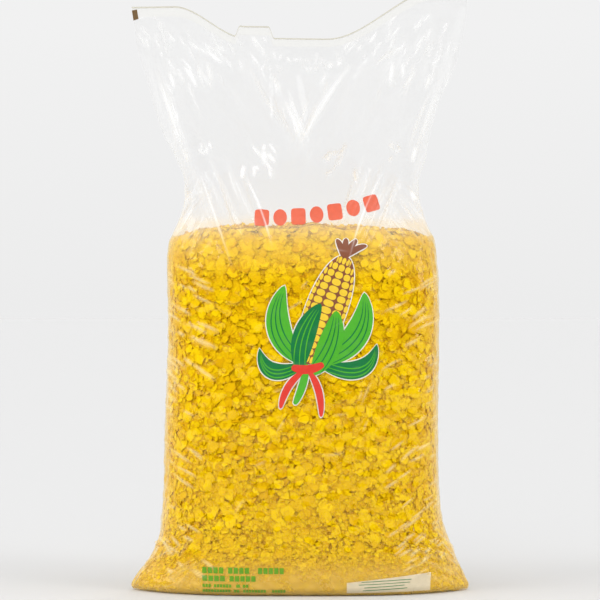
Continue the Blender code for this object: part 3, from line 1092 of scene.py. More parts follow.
@dataclass
class FlakeCore:
    """The mass behind the flakes that show: a closed body with lumps of the flakes' size."""

    bag: BagShape
    girth: Girth
    inset: float = 0.0068
    base_inset: float = 0.0022
    side_rise: float = 0.0055  # how much nearer the sides it lies, where flakes are seen edge-on
    side_reach: float = 0.65
    lump: float = 0.0022
    lump_size: float = 0.013
    least_depth: float = 0.0008
    lowest: float = 0.0015
    shoulder: float = 0.012  # how far below the heap's top the sides end
    heap_depth: float = 0.005  # under the flakes of the heap
    bend_start: float = 0.93  # share of the way out at which the heap's rings bend down to the sides
    columns: int = 260
    rows: tuple[int, int, int] = (14, 150, 40)  # under the base, up the sides and over the heap
    widest_base: float = 0.97  # ring under the base, as a share of the lowest side ring
    widest_top: float = 0.985
    deep_heights: tuple[float, float] = (0.02, 0.05)  # where it draws in from the film, and over what height
    lump_heights: tuple[float, float] = (0.03, 0.04)

    def build(self) -> bpy.types.Object:
        """A row of rings from the middle of the base, up the sides and over the heap to its middle.

        Returns:
            The core.
        """
        angle = self.girth.angle(np.linspace(0.0, self.girth.length, self.columns, endpoint=False))
        base_rows, side_rows, top_rows = self.rows
        side_heights = np.linspace(self.lowest, self.bag.fill_height - self.shoulder, side_rows)
        rings = [self.side_ring(angle, height) for height in side_heights]
        base = [self.cap_ring(rings[0], share, self.lowest)
                for share in np.linspace(0.0, self.widest_base, base_rows)]
        top = [self.cap_ring(rings[-1], share, None) for share in np.linspace(self.widest_top, 0.0, top_rows)]
        points = np.array(base + rings + top)
        piece = new_piece("flake_core", points, grid_faces(*points.shape[:2], closed=True))
        weld_doubles(piece)
        return piece

    def side_ring(self, angle: Array, height: float) -> Array:
        """One ring a few millimetres inside the film, pushed out and in by lumps."""
        heights = np.full_like(angle, height)
        up = climb(heights, *self.deep_heights)
        distance = self.girth.distance(angle)
        lumps = np.sin(distance / self.lump_size * TURN + 2.0 * np.sin(height / 0.011))
        lumps = lumps * np.sin(height / self.lump_size * TURN + 1.5 * np.sin(distance / 0.017))
        deep = self.base_inset + (self.inset - self.base_inset) * up
        deep = deep - self.side_rise * hill(np.sin(angle), self.side_reach) * up
        deep = deep + self.lump * lumps * climb(heights, *self.lump_heights)
        return self.bag.inside(angle, heights, np.maximum(deep, self.least_depth))

    def cap_ring(self, ring: Array, share: float, level: float | None) -> Array:
        """A ring shrunk towards the middle, on the base's level or on the heap."""
        points = ring * share
        x, y = points[:, 0], points[:, 1]
        if level is None:
            lumps = self.lump * np.sin(x / 0.0041) * np.sin(y / 0.0038)
            heap = self.bag.fill_line(x, y) - self.heap_depth + lumps
            bend = max(0.0, (share - self.bend_start) / (1.0 - self.bend_start))
            points[:, 2] = heap + (ring[:, 2] - heap) * bend
        else:
            points[:, 2] = level
        return points


@dataclass(frozen=True)
class FlakeKind:
    """One size of flake, and where it lies. Sizes are in millimetres."""

    name: str
    count: int
    size: tuple[float, float]  # longest width
    corners: int
    curl: float  # of the rim, as a share of the width
    thickness: float
    deep: tuple[float, float]  # of the flake's middle under the film
    tilt: tuple[float, float]  # slope against the film
    low_share: float  # of the usual number at the base
    rise: tuple[float, float]  # heights between which the number goes from low_share to full
    oval: float
    seed: int
    ringed: bool = True  # whether it has a ring between its middle and its rim


FLAKE_KINDS = tuple(FlakeKind(*row) for row in (
    ("broad", 4800, (14.0, 21.0), 10, 0.08, 1.0, (1.0, 5.6), (0.0, 0.24), 0.3, (0.03, 0.2), 0.16, 101),
    ("folded", 4300, (10.0, 16.0), 10, 0.2, 1.0, (2.6, 7.0), (0.35, 1.1), 0.4, (0.02, 0.14), 0.24, 102),
    ("middle", 5700, (8.0, 13.0), 8, 0.08, 0.9, (1.0, 5.5), (0.0, 0.4), 0.8, (0.02, 0.12), 0.18, 103),
    ("small", 13500, (4.5, 8.5), 7, 0.1, 0.8, (0.9, 3.4), (0.0, 0.5), 1.6, (0.0, 0.26), 0.22, 104, False),
    ("crumbs", 19000, (1.8, 4.2), 5, 0.1, 0.8, (0.7, 2.0), (0.0, 0.6), 6.0, (0.0, 0.15), 0.22, 105, False),
))


INNER_RING = 0.58  # of the way from a flake's middle to its rim
INNER_RIM = 0.35  # how near to the rim that ring counts, for the toasted colour
UNDER_RIM = 0.2
BLISTERED_MM = 14.0  # width from which a flake's blisters are full


@dataclass
class FlakeBed:
    """Every flake that shows: against the film all round, over the heap and on the base."""

    bag: BagShape
    girth: Girth
    front_share: float = 1.35  # how much closer the flakes lie at the front than at the back
    heap_share: float = 0.13  # of all flakes
    base_share: float = 0.05
    nearest: float = 0.0005  # to the film
    sunk: float = 1.3  # how much deeper the small flakes lie behind the broad ones, higher up
    sunk_heights: tuple[float, float] = (0.06, 0.30)  # where that starts, and over how much it grows
    lowest: float = 0.0015
    margin: float = 0.001  # between the film and what lies on the heap or the base
    heap_room: float = 0.003  # over the heap's line, for the flakes at its edge
    heap_lift: float = 0.0015
    base_lift: float = 0.0012
    base_lowest: float = 0.0009
    heap_level: float = 0.528
    base_level: float = 0.004
    whole_on_heap: float = 1.2  # how many of the larger kinds lie on the heap, against their share
    fine_on_heap: float = 0.4
    evenness: float = 0.75  # range of the flakes' shades
    browned_share: float = 0.05  # of flakes that were toasted too long
    browned: float = 0.7
    blister: float = 0.22 * MM
    top_blister: float = 0.25 * MM
    turn_jitter: float = 2.2
    rim_nicks: tuple[float, float] = (-0.14, 0.09)
    bends: tuple[float, float] = (0.13, 0.08)  # of the rim, in three and five waves
    cup: float = 0.9

    def lengths(self, height: Array) -> Array:
        """Girth at each height as a share of the reference one, from the section's width and depth."""
        left, right, depth, _, _ = self.bag.section(height)
        reference = self.bag.section(np.array([self.bag.reference_height]))
        deep_share = 0.8  # how much the depth counts in a girth, against the width
        whole = (reference[0] + reference[1]) / 2.0 + deep_share * reference[2]
        return ((left + right) / 2.0 + deep_share * depth) / whole

    def skin_sites(self, kind: FlakeKind, count: int, draw: np.random.Generator) -> tuple[Array, Array]:
        """Draws places round the bag: evenly over its area, but for the kind's own share at each height.

        Args:
            kind: the kind of flake.
            count: how many places.
            draw: the seeded generator.

        Returns:
            Distances round the bag, and heights.
        """
        levels = np.linspace(0.003, self.bag.fill_height, 400)
        low, high = kind.rise
        weight = kind.low_share + (1.0 - kind.low_share) * climb(levels, low, high - low)
        total = np.cumsum(weight * self.lengths(levels))
        height = np.interp(draw.uniform(0.0, total[-1], count), total, levels)
        around = np.linspace(0.0, self.girth.length, 400)
        nearer = np.where(np.sin(self.girth.angle(around)) >= -0.25, self.front_share, 1.0)
        spread = np.cumsum(nearer)
        distance = np.interp(draw.uniform(0.0, spread[-1], count), spread, around)
        return distance, height

    def on_skin(self, distance: Array, height: Array, round_it: Array, up: Array, deep: Array) -> Array:
        """Wraps flakes onto the bag's inside.

        Args:
            distance: each flake's place round the bag, as a column.
            height: each flake's height, as a column.
            round_it: distances of its points from its middle, round the bag.
            up: the same, up the bag.
            deep: depths under the film.

        Returns:
            Points, with x, y and z on the last axis.
        """
        angle = self.girth.angle(distance + round_it / self.lengths(height))
        step = 1e-3
        middle = self.girth.angle(distance)
        way_up = self.bag.smooth(middle, height + step) - self.bag.smooth(middle, height)
        rise = np.linalg.norm(way_up, axis=-1) / step
        level = np.clip(height + up / np.maximum(rise, 1.0), self.lowest, HEAD_START)
        points = self.bag.inside(angle, level, np.maximum(deep, self.nearest))
        heap = self.bag.fill_line(points[..., 0], points[..., 1]) + self.heap_room
        points[..., 2] = np.minimum(points[..., 2], heap - 0.4 * deep)
        return points

    def flat_sites(self, height: float, margin: float, count: int,
                   draw: np.random.Generator) -> tuple[Array, Array]:
        """Draws places evenly over the section at a height, leaving a margin along the film."""
        left, right, depth, fullness, edge = [v[0] for v in self.bag.section(np.array([height]))]
        x = draw.uniform(-left + margin, right - margin, 4 * count)
        y = draw.uniform(-depth, depth, 4 * count)
        room = depth * bulge(share_across(x, left, right), fullness, edge) - margin
        kept = np.flatnonzero(np.abs(y) < room)[:count]
        return x[kept, None], y[kept, None]

    def outline(self, kind: FlakeKind, count: int, draw: np.random.Generator) -> tuple[Array, ...]:
        """Shapes flakes lying flat, as points round a middle.

        The rim is a circle bent by cosines of two, three and five times the angle. The height is a
        saddle and a cup that grow with the square of the distance from the middle, and blisters.

        Args:
            kind: the kind of flake.
            count: how many flakes.
            draw: the seeded generator.

        Returns:
            Arrays of offsets along and across, heights, and how near each point is to the rim.
        """
        size = draw.uniform(*kind.size, (count, 1)) * MM / 2.0
        angle = np.arange(kind.corners) / kind.corners * TURN
        angle = angle + draw.uniform(-0.5, 0.5, (count, kind.corners)) * (self.turn_jitter / kind.corners)
        phase = draw.uniform(0.0, TURN, (count, 5))
        bend = draw.uniform(0.3, 1.0, (count, 3)) * (kind.oval, *self.bends)
        waves = sum(bend[:, n, None] * np.cos(k * angle + phase[:, n, None]) for n, k in enumerate((2, 3, 5)))
        radius = size * (1.0 + waves + draw.uniform(*self.rim_nicks, angle.shape))
        points = []
        for ring, rim in ((1.0, 1.0), (INNER_RING, INNER_RIM))[:2 if kind.ringed else 1]:
            saddle = np.cos(2.0 * angle + phase[:, 3, None]) * draw.uniform(-1.0, 1.0, (count, 1))
            cup = draw.uniform(-self.cup, self.cup, (count, 1))
            curl = kind.curl * size * 2.0 * (ring**2) * (saddle + cup)
            blister = draw.uniform(-1.0, 1.0, curl.shape) * self.blister
            height = curl + blister * min(1.0, kind.size[1] / BLISTERED_MM)
            along, across = ring * radius * np.cos(angle), ring * radius * np.sin(angle)
            points.append((along, across, height, np.full_like(curl, rim)))
        top = draw.uniform(-1.0, 1.0, (count, 1)) * self.top_blister
        outer, inner = points[0][2], points[-1][2]
        if kind.ringed:
            under = ((inner - kind.thickness * MM) - INNER_RING * outer) / (1.0 - INNER_RING)
            below = np.minimum(under.min(axis=1, keepdims=True), top - kind.thickness * MM)
        else:
            below = np.minimum(outer.min(axis=1, keepdims=True), top) - kind.thickness * MM
        middle = np.zeros((count, 1))
        points += [(middle, middle, top, middle), (middle, middle, below, np.full((count, 1), UNDER_RIM))]
        return tuple(np.concatenate(column, axis=1) for column in zip(*points))

    def faces(self, kind: FlakeKind, count: int) -> Array:
        """Triangles of each flake in turn: a fan, or a fan and a ring, on top, and a fan underneath."""
        n = kind.corners
        step = np.arange(n)
        after = (step + 1) % n
        top = 2 * n if kind.ringed else n
        under = top + 1
        inner = n if kind.ringed else 0
        one = [np.stack([inner + step, inner + after, np.full(n, top)], axis=1)]
        if kind.ringed:
            one.append(np.stack([step, after, n + after], axis=1))
            one.append(np.stack([step, n + after, n + step], axis=1))
        one.append(np.stack([after, step, np.full(n, under)], axis=1))
        single = np.concatenate(one)
        shift = np.arange(count)[:, None, None] * (under + 1)
        return single[None] + shift

    def lay(self, kind: FlakeKind) -> bpy.types.Object:
        """Lays every flake of one kind and joins them into one piece.

        Args:
            kind: the kind of flake.

        Returns:
            The piece, with each point's shade and nearness to a rim.
        """
        draw = np.random.default_rng(kind.seed)
        on_heap = self.fine_on_heap if kind.low_share > 1.0 else self.whole_on_heap
        heap_count = int(kind.count * self.heap_share * on_heap)
        base_count = int(kind.count * self.base_share)
        margin = 0.6 * kind.size[1] * MM + self.margin
        heap_x, heap_y = self.flat_sites(self.heap_level, margin, heap_count, draw)
        base_x, base_y = self.flat_sites(self.base_level, margin, base_count, draw)
        skin_count = kind.count - len(heap_x) - len(base_x)
        count = kind.count
        along, across, rise, rim = self.outline(kind, count, draw)
        tilt = draw.uniform(*kind.tilt, (count, 1))
        lean = draw.uniform(0.0, TURN, (count, 1))
        deep = draw.uniform(*kind.deep, (count, 1)) * MM
        squeeze = 1.0 / np.sqrt(1.0 + tilt**2)
        fall = along * np.cos(lean) + across * np.sin(lean)
        lift = (rise + tilt * fall) * squeeze
        along = along - fall * np.cos(lean) * (1.0 - squeeze)
        across = across - fall * np.sin(lean) * (1.0 - squeeze)
        distance, height = self.skin_sites(kind, skin_count, draw)
        skin = slice(0, skin_count)
        if not kind.ringed:
            deep[skin] *= 1.0 + self.sunk * climb(height[:, None], *self.sunk_heights)
        heap = slice(skin_count, skin_count + len(heap_x))
        base = slice(skin_count + len(heap_x), count)
        points = np.empty((count, along.shape[1], 3))
        points[skin] = self.on_skin(
            distance[:, None], height[:, None], along[skin], across[skin], deep[skin] - lift[skin])
        x, y = heap_x + along[heap], heap_y + across[heap]
        level = self.bag.fill_line(x, y) + self.heap_lift + lift[heap] - 0.6 * deep[heap]
        points[heap] = np.stack([x, y, level], axis=-1)
        x, y = base_x + along[base], base_y + across[base]
        level = np.maximum(0.3 * deep[base] + self.base_lift - lift[base], self.base_lowest)
        points[base] = np.stack([x, y, level], axis=-1)
        faces = self.faces(kind, count)
        faces[base] = faces[base][:, :, ::-1]
        piece = new_piece(f"flakes_{kind.name}", points, faces.reshape(-1, 3))
        self.crease_rims(piece, kind)
        browned = draw.uniform(0.0, 1.0, (count, 1)) < self.browned_share
        shade = self.evenness * draw.uniform(0.0, 1.0, (count, 1)) ** 1.3 + self.browned * browned
        add_attribute(piece, "shade", np.repeat(shade, along.shape[1], axis=1))
        add_attribute(piece, "rim", rim)
        return piece

    @staticmethod
    def crease_rims(piece: bpy.types.Object, kind: FlakeKind) -> None:
        """Marks every rim edge sharp, so that a flake is shaded as a thin plate and not as a pillow."""
        mesh = piece.data
        ends = np.empty(len(mesh.edges) * 2, dtype=np.int32)
        mesh.edges.foreach_get("vertices", ends)
        per_flake = (2 if kind.ringed else 1) * kind.corners + 2
        on_rim = (ends.reshape(-1, 2) % per_flake) < kind.corners
        layer = mesh.attributes.new("sharp_edge", "BOOLEAN", "EDGE")
        layer.data.foreach_set("value", on_rim.all(axis=1))

    def build(self) -> None:
        """Makes the core and every kind of flake, and dresses them."""
        core = FlakeCore(self.bag, self.girth).build()
        place(core, [FlakeDust().material()])
        toasted = ToastedFlake().material()
        for kind in FLAKE_KINDS:
            place(self.lay(kind), [toasted])


# The printing: fields of colour and simple shapes of this bag's own design.


class Leaf(NamedTuple):
    """A tapered strip along a curve through three places (x, z), in metres."""

    start: Place
    bend: Place
    end: Place
    width: float
    blunt: float  # below 1 the ends are round, and above 1 they are drawn out
    ink: Ink

    def places(self) -> list[Array]:
        """Its start, bend and end as arrays."""
        return [np.array(where) for where in (self.start, self.bend, self.end)]


@dataclass
class Printing:
    """Ink on the front film: a row of shapes, a maize cob, green bars, a pale panel and a corner mark."""

    film: Film
    lift: float = 0.0004
    layer: float = 0.00010
    outline: float = 0.0016
    fineness: float = 0.0013
    vein: float = 0.0018
    dash: float = 0.95  # length of a piece of a bar, as a share of its height
    dash_gap: float = 0.20
    veined_width: float = 0.020  # of the narrowest leaf with veins
    cob_base: tuple[float, float] = (0.008, 0.334)
    cob_tip: tuple[float, float] = (0.066, 0.488)
    cob_width: float = 0.058
    cob_power: float = 2.1
    kernel_rows: int = 15
    kernel_columns: int = 5
    kernel_reach: float = 0.94  # of the half turn that shows
    kernel_spread: float = 0.97  # of the cob's length
    kernel_fill: tuple[float, float] = (0.88, 0.42)  # of a row's half length and a column's width
    vein_places: tuple[float, ...] = (-0.26, 0.0, 0.26)  # shares of a leaf's width
    row_count: int = 7
    row_start: tuple[float, float] = (-0.055, 0.5440)
    row_reach: tuple[float, float] = (0.158, 0.021)  # across and up
    row_power: float = 2.2  # of the arc that the row rises on
    outline_step: float = 0.03  # between the outlines' layers, so that no two lie in one place
    leaf_step: float = 0.4
    cob_outline_level: float = 0.5
    husk_level: float = 1.0
    cob_level: float = 3.0
    kernel_level: float = 4.0
    front_level: float = 5.0
    ribbon_level: float = 7.0

    @staticmethod
    def at_level(flat: Array, level: float) -> Array:
        """Adds to flat places (x, z) how many layers of ink lie below them."""
        return np.concatenate([flat, np.full(flat.shape[:-1] + (1,), level)], axis=-1)

    def on_film(self, places: Array) -> Array:
        """Lays places on the front film, along its creases.

        Args:
            places: rows of x, z and the number of layers of ink below.

        Returns:
            Points, with x, y and z on the last axis.
        """
        angle, height = self.film.bag.on_front(places[:, 0], places[:, 1])
        return self.film.points(angle, height, self.lift + places[:, 2] * self.layer)

    def strip(self, leaf: Leaf, grow: float, level: float,
              counts: tuple[int, int] = (48, 15)) -> tuple[Array, Array]:
        """A leaf: a quadratic curve through its places, with a width that is a power of a sine.

        Args:
            leaf: the leaf.
            grow: how far it is widened all round.
            level: its layer.
            counts: points along and across.

        Returns:
            Points and faces.
        """
        rows, columns = counts
        start, bend, end = leaf.places()
        length = np.linalg.norm(end - bend) + np.linalg.norm(bend - start)
        extra = grow / length
        way = np.linspace(-extra, 1.0 + extra, rows)[:, None]
        middle = (1 - way) ** 2 * start + 2 * way * (1 - way) * bend + way**2 * end
        along = 2 * (1 - way) * (bend - start) + 2 * way * (end - bend)
        along = unit(along)
        side = np.stack([-along[:, 1], along[:, 0]], axis=1)
        spot = (way + extra) / (1.0 + 2.0 * extra)
        taper = np.clip(np.sin(math.pi * spot), 0.0, 1.0) ** leaf.blunt
        half = (leaf.width / 2.0 + grow) * taper
        across = np.linspace(-1.0, 1.0, columns)
        flat = middle[:, None, :] + side[:, None, :] * (half * across)[..., None]
        return self.at_level(flat, level), grid_faces(rows, columns)

    def blob(self, middle: Array, along: Array, sizes: tuple[float, float], level: int,
             power: float = 2.4) -> tuple[Array, Array]:
        """A rounded patch: a superellipse on a polar grid.

        Args:
            middle: its place (x, z).
            along: the direction of its first size.
            sizes: half its length and half its width.
            level: its layer.
            power: 2 is an ellipse, and more is nearer to a rectangle.

        Returns:
            Points and faces.
        """
        rings = max(4, int(max(sizes) / self.fineness))
        corners = 24 if rings < 8 else 64
        turns = np.linspace(0.0, TURN, corners, endpoint=False)
        turn, share = np.meshgrid(turns, np.linspace(0.0, 1.0, rings))
        cosine, sine = np.cos(turn), np.sin(turn)
        radius = share / (np.abs(cosine) ** power + np.abs(sine) ** power) ** (1.0 / power)
        first, second = radius * cosine * sizes[0], radius * sine * sizes[1]
        side = np.array([-along[1], along[0]])
        flat = middle + first[..., None] * along + second[..., None] * side
        return self.at_level(flat, level), grid_faces(rings, corners, closed=True)[:, ::-1]

    def quad(self, corners: Array, level: int, counts: tuple[int, int] = (8, 40)) -> tuple[Array, Array]:
        """A four-sided patch between corners given from the lower left, anticlockwise."""
        up, across = np.meshgrid(np.linspace(0, 1, counts[0]), np.linspace(0, 1, counts[1]), indexing="ij")
        low = corners[0] * (1 - across[..., None]) + corners[1] * across[..., None]
        high = corners[3] * (1 - across[..., None]) + corners[2] * across[..., None]
        flat = low * (1 - up[..., None]) + high * up[..., None]
        return self.at_level(flat, level), grid_faces(*counts)

    def join(self, name: str, parts: list[tuple[tuple[Array, Array], Ink]]) -> None:
        """Joins printed patches into one piece with one material slot for each ink."""
        used = list(dict.fromkeys(ink for _, ink in parts))
        start, places, faces, inks = 0, [], [], []
        for (part_places, part_faces), ink in parts:
            places.append(part_places.reshape(-1, 3))
            faces.append(part_faces + start)
            inks.append(np.full(len(part_faces), used.index(ink), dtype=np.int32))
            start += len(places[-1])
        points = self.on_film(np.concatenate(places))
        piece = new_piece(name, points, np.concatenate(faces))
        piece.data.polygons.foreach_set("material_index", np.concatenate(inks))
        # the film's haze and the painted highlight along its creases, for the inks to whiten by
        add_attribute(piece, "haze_and_glint", self.film.haze_and_glint(FilmSide.FRONT, points))
        weld_doubles(piece, turn_out=False)
        place(piece, [self.inks[ink] for ink in used])

    def leaves(self) -> list[Leaf]:
        """Husk leaves, ribbon, silk and stalk round the cob."""
        return [
            Leaf((0.012, 0.338), (-0.050, 0.300), (-0.058, 0.356), 0.024, 0.75, Ink.DARK_GREEN),
            Leaf((0.016, 0.340), (0.098, 0.300), (0.110, 0.362), 0.026, 0.75, Ink.DARK_GREEN),
            Leaf((0.006, 0.334), (-0.052, 0.378), (-0.022, 0.446), 0.034, 0.65, Ink.BRIGHT_GREEN),
            Leaf((0.018, 0.334), (0.100, 0.358), (0.092, 0.436), 0.036, 0.65, Ink.BRIGHT_GREEN),
            Leaf((0.000, 0.322), (-0.004, 0.374), (0.030, 0.420), 0.032, 0.60, Ink.DARK_GREEN),
            Leaf((0.016, 0.318), (0.050, 0.356), (0.052, 0.410), 0.034, 0.60, Ink.BRIGHT_GREEN),
            Leaf((0.010, 0.334), (0.006, 0.302), (-0.008, 0.276), 0.011, 0.30, Ink.BRIGHT_GREEN),
        ]

    def ribbon(self) -> list[Leaf]:
        """A red band with two short tails."""
        return [
            Leaf((-0.012, 0.330), (0.010, 0.320), (0.034, 0.334), 0.013, 0.25, Ink.RED),
            Leaf((0.006, 0.324), (-0.022, 0.306), (-0.028, 0.270), 0.010, 0.35, Ink.RED),
            Leaf((0.012, 0.324), (0.032, 0.300), (0.030, 0.258), 0.010, 0.35, Ink.RED),
        ]

    def silk(self) -> list[Leaf]:
        """Strands of brown silk at the cob's tip."""
        tip = np.array(self.cob_tip)
        ends = ((0.052, 0.512), (0.066, 0.514), (0.082, 0.511), (0.096, 0.503))
        return [Leaf(tip - 0.004, (tip + end) / 2.0 + (0.0, 0.006), end, 0.0085, 0.45, Ink.BROWN)
                for end in np.array(ends)]

    def cob(self) -> None:
        """The maize cob: a yellow field with kernels, husk leaves, ribbon and silk, all outlined in white."""
        base, tip = np.array(self.cob_base), np.array(self.cob_tip)
        length = np.linalg.norm(tip - base)
        along = (tip - base) / length
        side = np.array([-along[1], along[0]])
        middle = (base + tip) / 2.0
        half = (length / 2.0, self.cob_width / 2.0)
        back, front = self.leaves()[:4], self.leaves()[4:]
        parts = []
        for number, leaf in enumerate(back + front + self.ribbon() + self.silk()):
            parts.append((self.strip(leaf, self.outline, self.outline_step * number), Ink.WHITE))
        grown = (half[0] + self.outline, half[1] + self.outline)
        parts.append((self.blob(middle, along, grown, self.cob_outline_level, self.cob_power), Ink.WHITE))
        parts += self.veined(back + self.silk(), self.husk_level)
        parts.append((self.blob(middle, along, half, self.cob_level, self.cob_power), Ink.BROWN))
        for row in range(self.kernel_rows):
            way = (row + 0.5) / self.kernel_rows * 2.0 - 1.0
            wide = half[1] * math.sqrt(max(0.0, 1.0 - way * way))
            for column in range(self.kernel_columns):
                turn = ((column + 0.5) / self.kernel_columns - 0.5) * math.pi * self.kernel_reach
                kernel = middle + along * way * half[0] * self.kernel_spread + side * wide * math.sin(turn)
                across = wide * math.cos(turn) * math.pi / self.kernel_columns * self.kernel_fill[1]
                size = (half[0] / self.kernel_rows * self.kernel_fill[0], across)
                parts.append((self.blob(kernel, along, size, self.kernel_level), Ink.YELLOW))
        parts += self.veined(front, self.front_level)
        parts += self.veined(self.ribbon(), self.ribbon_level)
        self.join("print_cob", parts)

    def veined(self, leaves: list[Leaf], level: float) -> list[tuple[tuple[Array, Array], Ink]]:
        """Fills leaves, each on its own layer, with three thin veins of the other green on the green ones.

        Args:
            leaves: the leaves.
            level: the first one's layer.

        Returns:
            Printed patches, each with its ink.
        """
        other = {Ink.DARK_GREEN: Ink.BRIGHT_GREEN, Ink.BRIGHT_GREEN: Ink.DARK_GREEN}
        parts = []
        for number, leaf in enumerate(leaves):
            own = level + self.leaf_step * number
            parts.append((self.strip(leaf, 0.0, own), leaf.ink))
            if leaf.ink not in other or leaf.width < self.veined_width:
                continue
            start, bend, end = leaf.places()
            across = np.array([start[1] - end[1], end[0] - start[0]]) / np.linalg.norm(end - start)
            for side in self.vein_places:
                shift = across * side * leaf.width
                low, high = start + 0.10 * (bend - start) + shift, end + 0.16 * (bend - end) + 0.4 * shift
                vein = Leaf(low, bend + shift, high, self.vein, 0.5, other[leaf.ink])
                parts.append((self.strip(vein, 0.0, own + 1.0, (48, 3)), vein.ink))
        return parts

    def row_of_shapes(self) -> None:
        """Seven plain rounded shapes on a gentle arc that rises to the right."""
        parts = []
        for number in range(self.row_count):
            way = number / (self.row_count - 1.0)
            middle = np.array(self.row_start) + np.array(self.row_reach) * (way, way**self.row_power)
            turn = math.radians(-2.0 + 17.0 * way**1.5)
            up = np.array([-math.sin(turn), math.cos(turn)])
            if number % 2:
                sizes, power = (0.0120, 0.0098), 2.0
            else:
                sizes, power = (0.0120, 0.0105), 6.0
            parts.append((self.blob(middle, up, sizes, 0, power), Ink.ORANGE_RED))
        self.join("print_row", parts)

    def bars(self) -> None:
        """Green bars in four lines, broken as words and letters would be."""
        lines = (
            (0.0378, 0.0088, ((-0.1400, -0.1080), (-0.1030, -0.0710), (-0.0600, -0.0215))),
            (0.0262, 0.0080, ((-0.1400, -0.1060), (-0.1010, -0.0620))),
            (0.0155, 0.0046, ((-0.14, -0.127), (-0.1235, -0.0975), (-0.0915, -0.085), (-0.082, -0.073))),
            (0.0080, 0.0042, ((-0.14, -0.099), (-0.095, -0.086), (-0.0815, -0.048), (-0.04, -0.02))),
        )
        parts = []
        for middle, tall, spans in lines:
            for low, high in spans:
                pieces = max(1, round((high - low) / (self.dash * tall)))
                starts = np.linspace(low, high, pieces + 1)
                for start, end in zip(starts[:-1], starts[1:] - self.dash_gap * tall):
                    corners = np.array([(start, middle - tall / 2), (end, middle - tall / 2),
                                        (end, middle + tall / 2), (start, middle + tall / 2)])
                    parts.append((self.quad(corners, 0, (4, 4)), Ink.TEXT_GREEN))
        self.join("print_bars", parts)

    def panel(self) -> None:
        """The pale panel at the lower right, with thin green lines."""
        corners = np.array([(0.067, 0.0050), (0.188, 0.0060), (0.188, 0.0325), (0.067, 0.0205)])
        parts = [(self.quad(corners, 0), Ink.PANEL)]
        spans = ((0.088, 0.160), (0.084, 0.158), (0.092, 0.150), (0.090, 0.154))
        for number, (low, high) in enumerate(spans):
            level = 0.0235 - 0.0042 * number
            line = [(low, level - 0.0028), (high, level), (high, level + 0.0009), (low, level - 0.0019)]
            parts.append((self.quad(np.array(line), 1, (2, 24)), Ink.DARK_GREEN))
        self.join("print_panel", parts)

    def corner_mark(self) -> None:
        """The small dark mark for the packing machine at the top left corner."""
        corners = np.array([(-0.2455, 0.8365), (-0.2375, 0.8390), (-0.2400, 0.8530), (-0.2480, 0.8515)])
        self.join("print_mark", [(self.quad(corners, 0, (6, 6)), Ink.MARK)])

    def build(self) -> None:
        """Prints everything."""
        self.inks = {ink: ink.material() for ink in Ink}
        self.row_of_shapes()
        self.cob()
        self.bars()
        self.panel()
        self.corner_mark()


# The studio.


class Sun(NamedTuple):
    """A light from far away: where it comes from, its strength and how wide it is, in degrees."""

    azimuth: float  # 0 comes from the camera, 90 from the right
    elevation: float
    strength: float
    wide: float
    mirrored: bool  # whether it shows in reflections


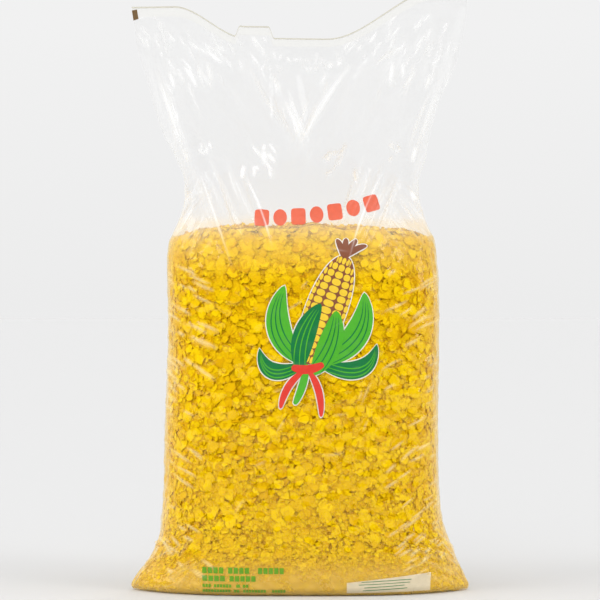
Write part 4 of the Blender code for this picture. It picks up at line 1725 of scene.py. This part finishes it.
@dataclass(frozen=True)
class Studio:
    """A pale floor, an even pale surround, soft lights and the photograph's camera."""

    camera_place: tuple[float, float, float] = (0.0, -4.0, 0.4254)
    lens: float = 163.27
    backdrop: tuple[float, float] = (0.842, 0.880)  # at the horizon, and a little above it
    surround: float = 0.62
    mirrored_front: float = 0.01  # brightness of the room behind the camera, as reflections show it
    mirrored_back: float = 0.84
    mirrored_turn: tuple[float, float] = (-0.1, 0.7)  # where the one gives way to the other
    horizon: tuple[float, float] = (0.0, 0.1)
    floor_radius: float = 60.0
    floor_drop: float = 0.0002
    floor_corners: int = 96
    floor_colour: str = "#D4D4D4"
    suns: tuple[Sun, ...] = (
        Sun(-65.0, 25.0, 0.98, 50.0, False),
        Sun(65.0, 25.0, 0.80, 50.0, False),
        Sun(-8.0, 30.0, 0.70, 40.0, False),
        Sun(10.0, 72.0, 0.30, 50.0, False),
        Sun(160.0, 40.0, 0.35, 40.0, False),
        Sun(-62.0, 22.0, 0.16, 14.0, True),
        Sun(-48.0, 42.0, 0.14, 14.0, True),
        Sun(48.0, 42.0, 0.12, 14.0, True),
        Sun(52.0, 30.0, 0.12, 12.0, True),
        Sun(84.0, 12.0, 0.14, 14.0, True),
        Sun(-95.0, 35.0, 0.14, 14.0, True),
        Sun(150.0, 45.0, 0.12, 8.0, True),
        Sun(-150.0, 30.0, 0.12, 8.0, True),
    )

    def camera(self) -> None:
        """Sets the camera level, straight in front of the bag."""
        lens = bpy.data.cameras.new("camera")
        lens.lens = self.lens
        lens.sensor_width = 36.0
        lens.clip_end = 500.0
        view = add_object("camera", lens)
        view.location = self.camera_place
        view.rotation_euler = (math.pi / 2.0, 0.0, 0.0)
        bpy.context.scene.camera = view

    def floor(self) -> None:
        """A wide pale disc just under the bag."""
        turn = np.linspace(0.0, TURN, self.floor_corners, endpoint=False)
        ring = np.stack([np.cos(turn), np.sin(turn), np.zeros_like(turn)], axis=1) * self.floor_radius
        ring[:, 2] = -self.floor_drop
        mesh = bpy.data.meshes.new("floor")
        mesh.from_pydata(ring.tolist(), [], [tuple(range(len(ring)))])
        material, tree, finish = start_material("matt white studio floor")
        feed(tree, finish, {
            "Base Color": linear(self.floor_colour), "Roughness": 0.9, "Specular IOR Level": 0.1})
        mesh.materials.append(material)
        disc = add_object("floor", mesh)

    def lights(self) -> None:
        """Adds the suns, and a surround that is paler to the camera than to what it lights."""
        for number, sun in enumerate(self.suns):
            light = bpy.data.lights.new(f"sun_{number}", "SUN")
            light.energy = sun.strength
            light.angle = math.radians(sun.wide)
            lamp = add_object(f"sun_{number}", light)
            lamp.rotation_euler = (math.radians(90.0 - sun.elevation), 0.0, math.radians(sun.azimuth))
            lamp.visible_glossy = sun.mirrored
        world = bpy.data.worlds.new("pale surround")
        world.use_nodes = True
        tree = world.node_tree
        tree.nodes.clear()
        output = add_node(tree, "ShaderNodeOutputWorld")
        path = add_node(tree, "ShaderNodeLightPath")
        way = add_node(tree, "ShaderNodeTexCoord")
        apart = add_node(tree, "ShaderNodeSeparateXYZ", {0: way.outputs["Generated"]})
        mirrored = ramp(tree, apart.outputs[1], self.mirrored_turn, (self.mirrored_front, self.mirrored_back))
        backdrop = ramp(tree, apart.outputs[2], self.horizon, self.backdrop)
        strength = self.surround
        for ray, other in (("Is Glossy Ray", mirrored), ("Is Camera Ray", backdrop)):
            inputs = {0: path.outputs[ray], 2: strength, 3: other}
            strength = add_node(tree, "ShaderNodeMix", inputs, data_type="FLOAT").outputs[0]
        glow = add_node(tree, "ShaderNodeBackground", {"Color": linear("#FFFFFF"), "Strength": strength})
        tree.links.new(glow.outputs[0], output.inputs["Surface"])
        bpy.context.scene.world = world

    def build(self) -> None:
        """Makes the camera, the floor and the lights."""
        self.camera()
        self.floor()
        self.lights()
        bpy.context.scene.view_settings.view_transform = "Standard"


def main() -> None:
    """Builds the studio, the flakes, the film and its printing, in that order."""
    logging.basicConfig(level=logging.INFO, format="%(name)s: %(message)s")
    Studio().build()
    bag = BagShape()
    girth = Girth(bag)
    FlakeBed(bag, girth).build()
    film = Film(bag, girth, FilmRelief(bag, girth))
    film.build()
    Printing(film).build()


if __name__ == "__main__":
    main()
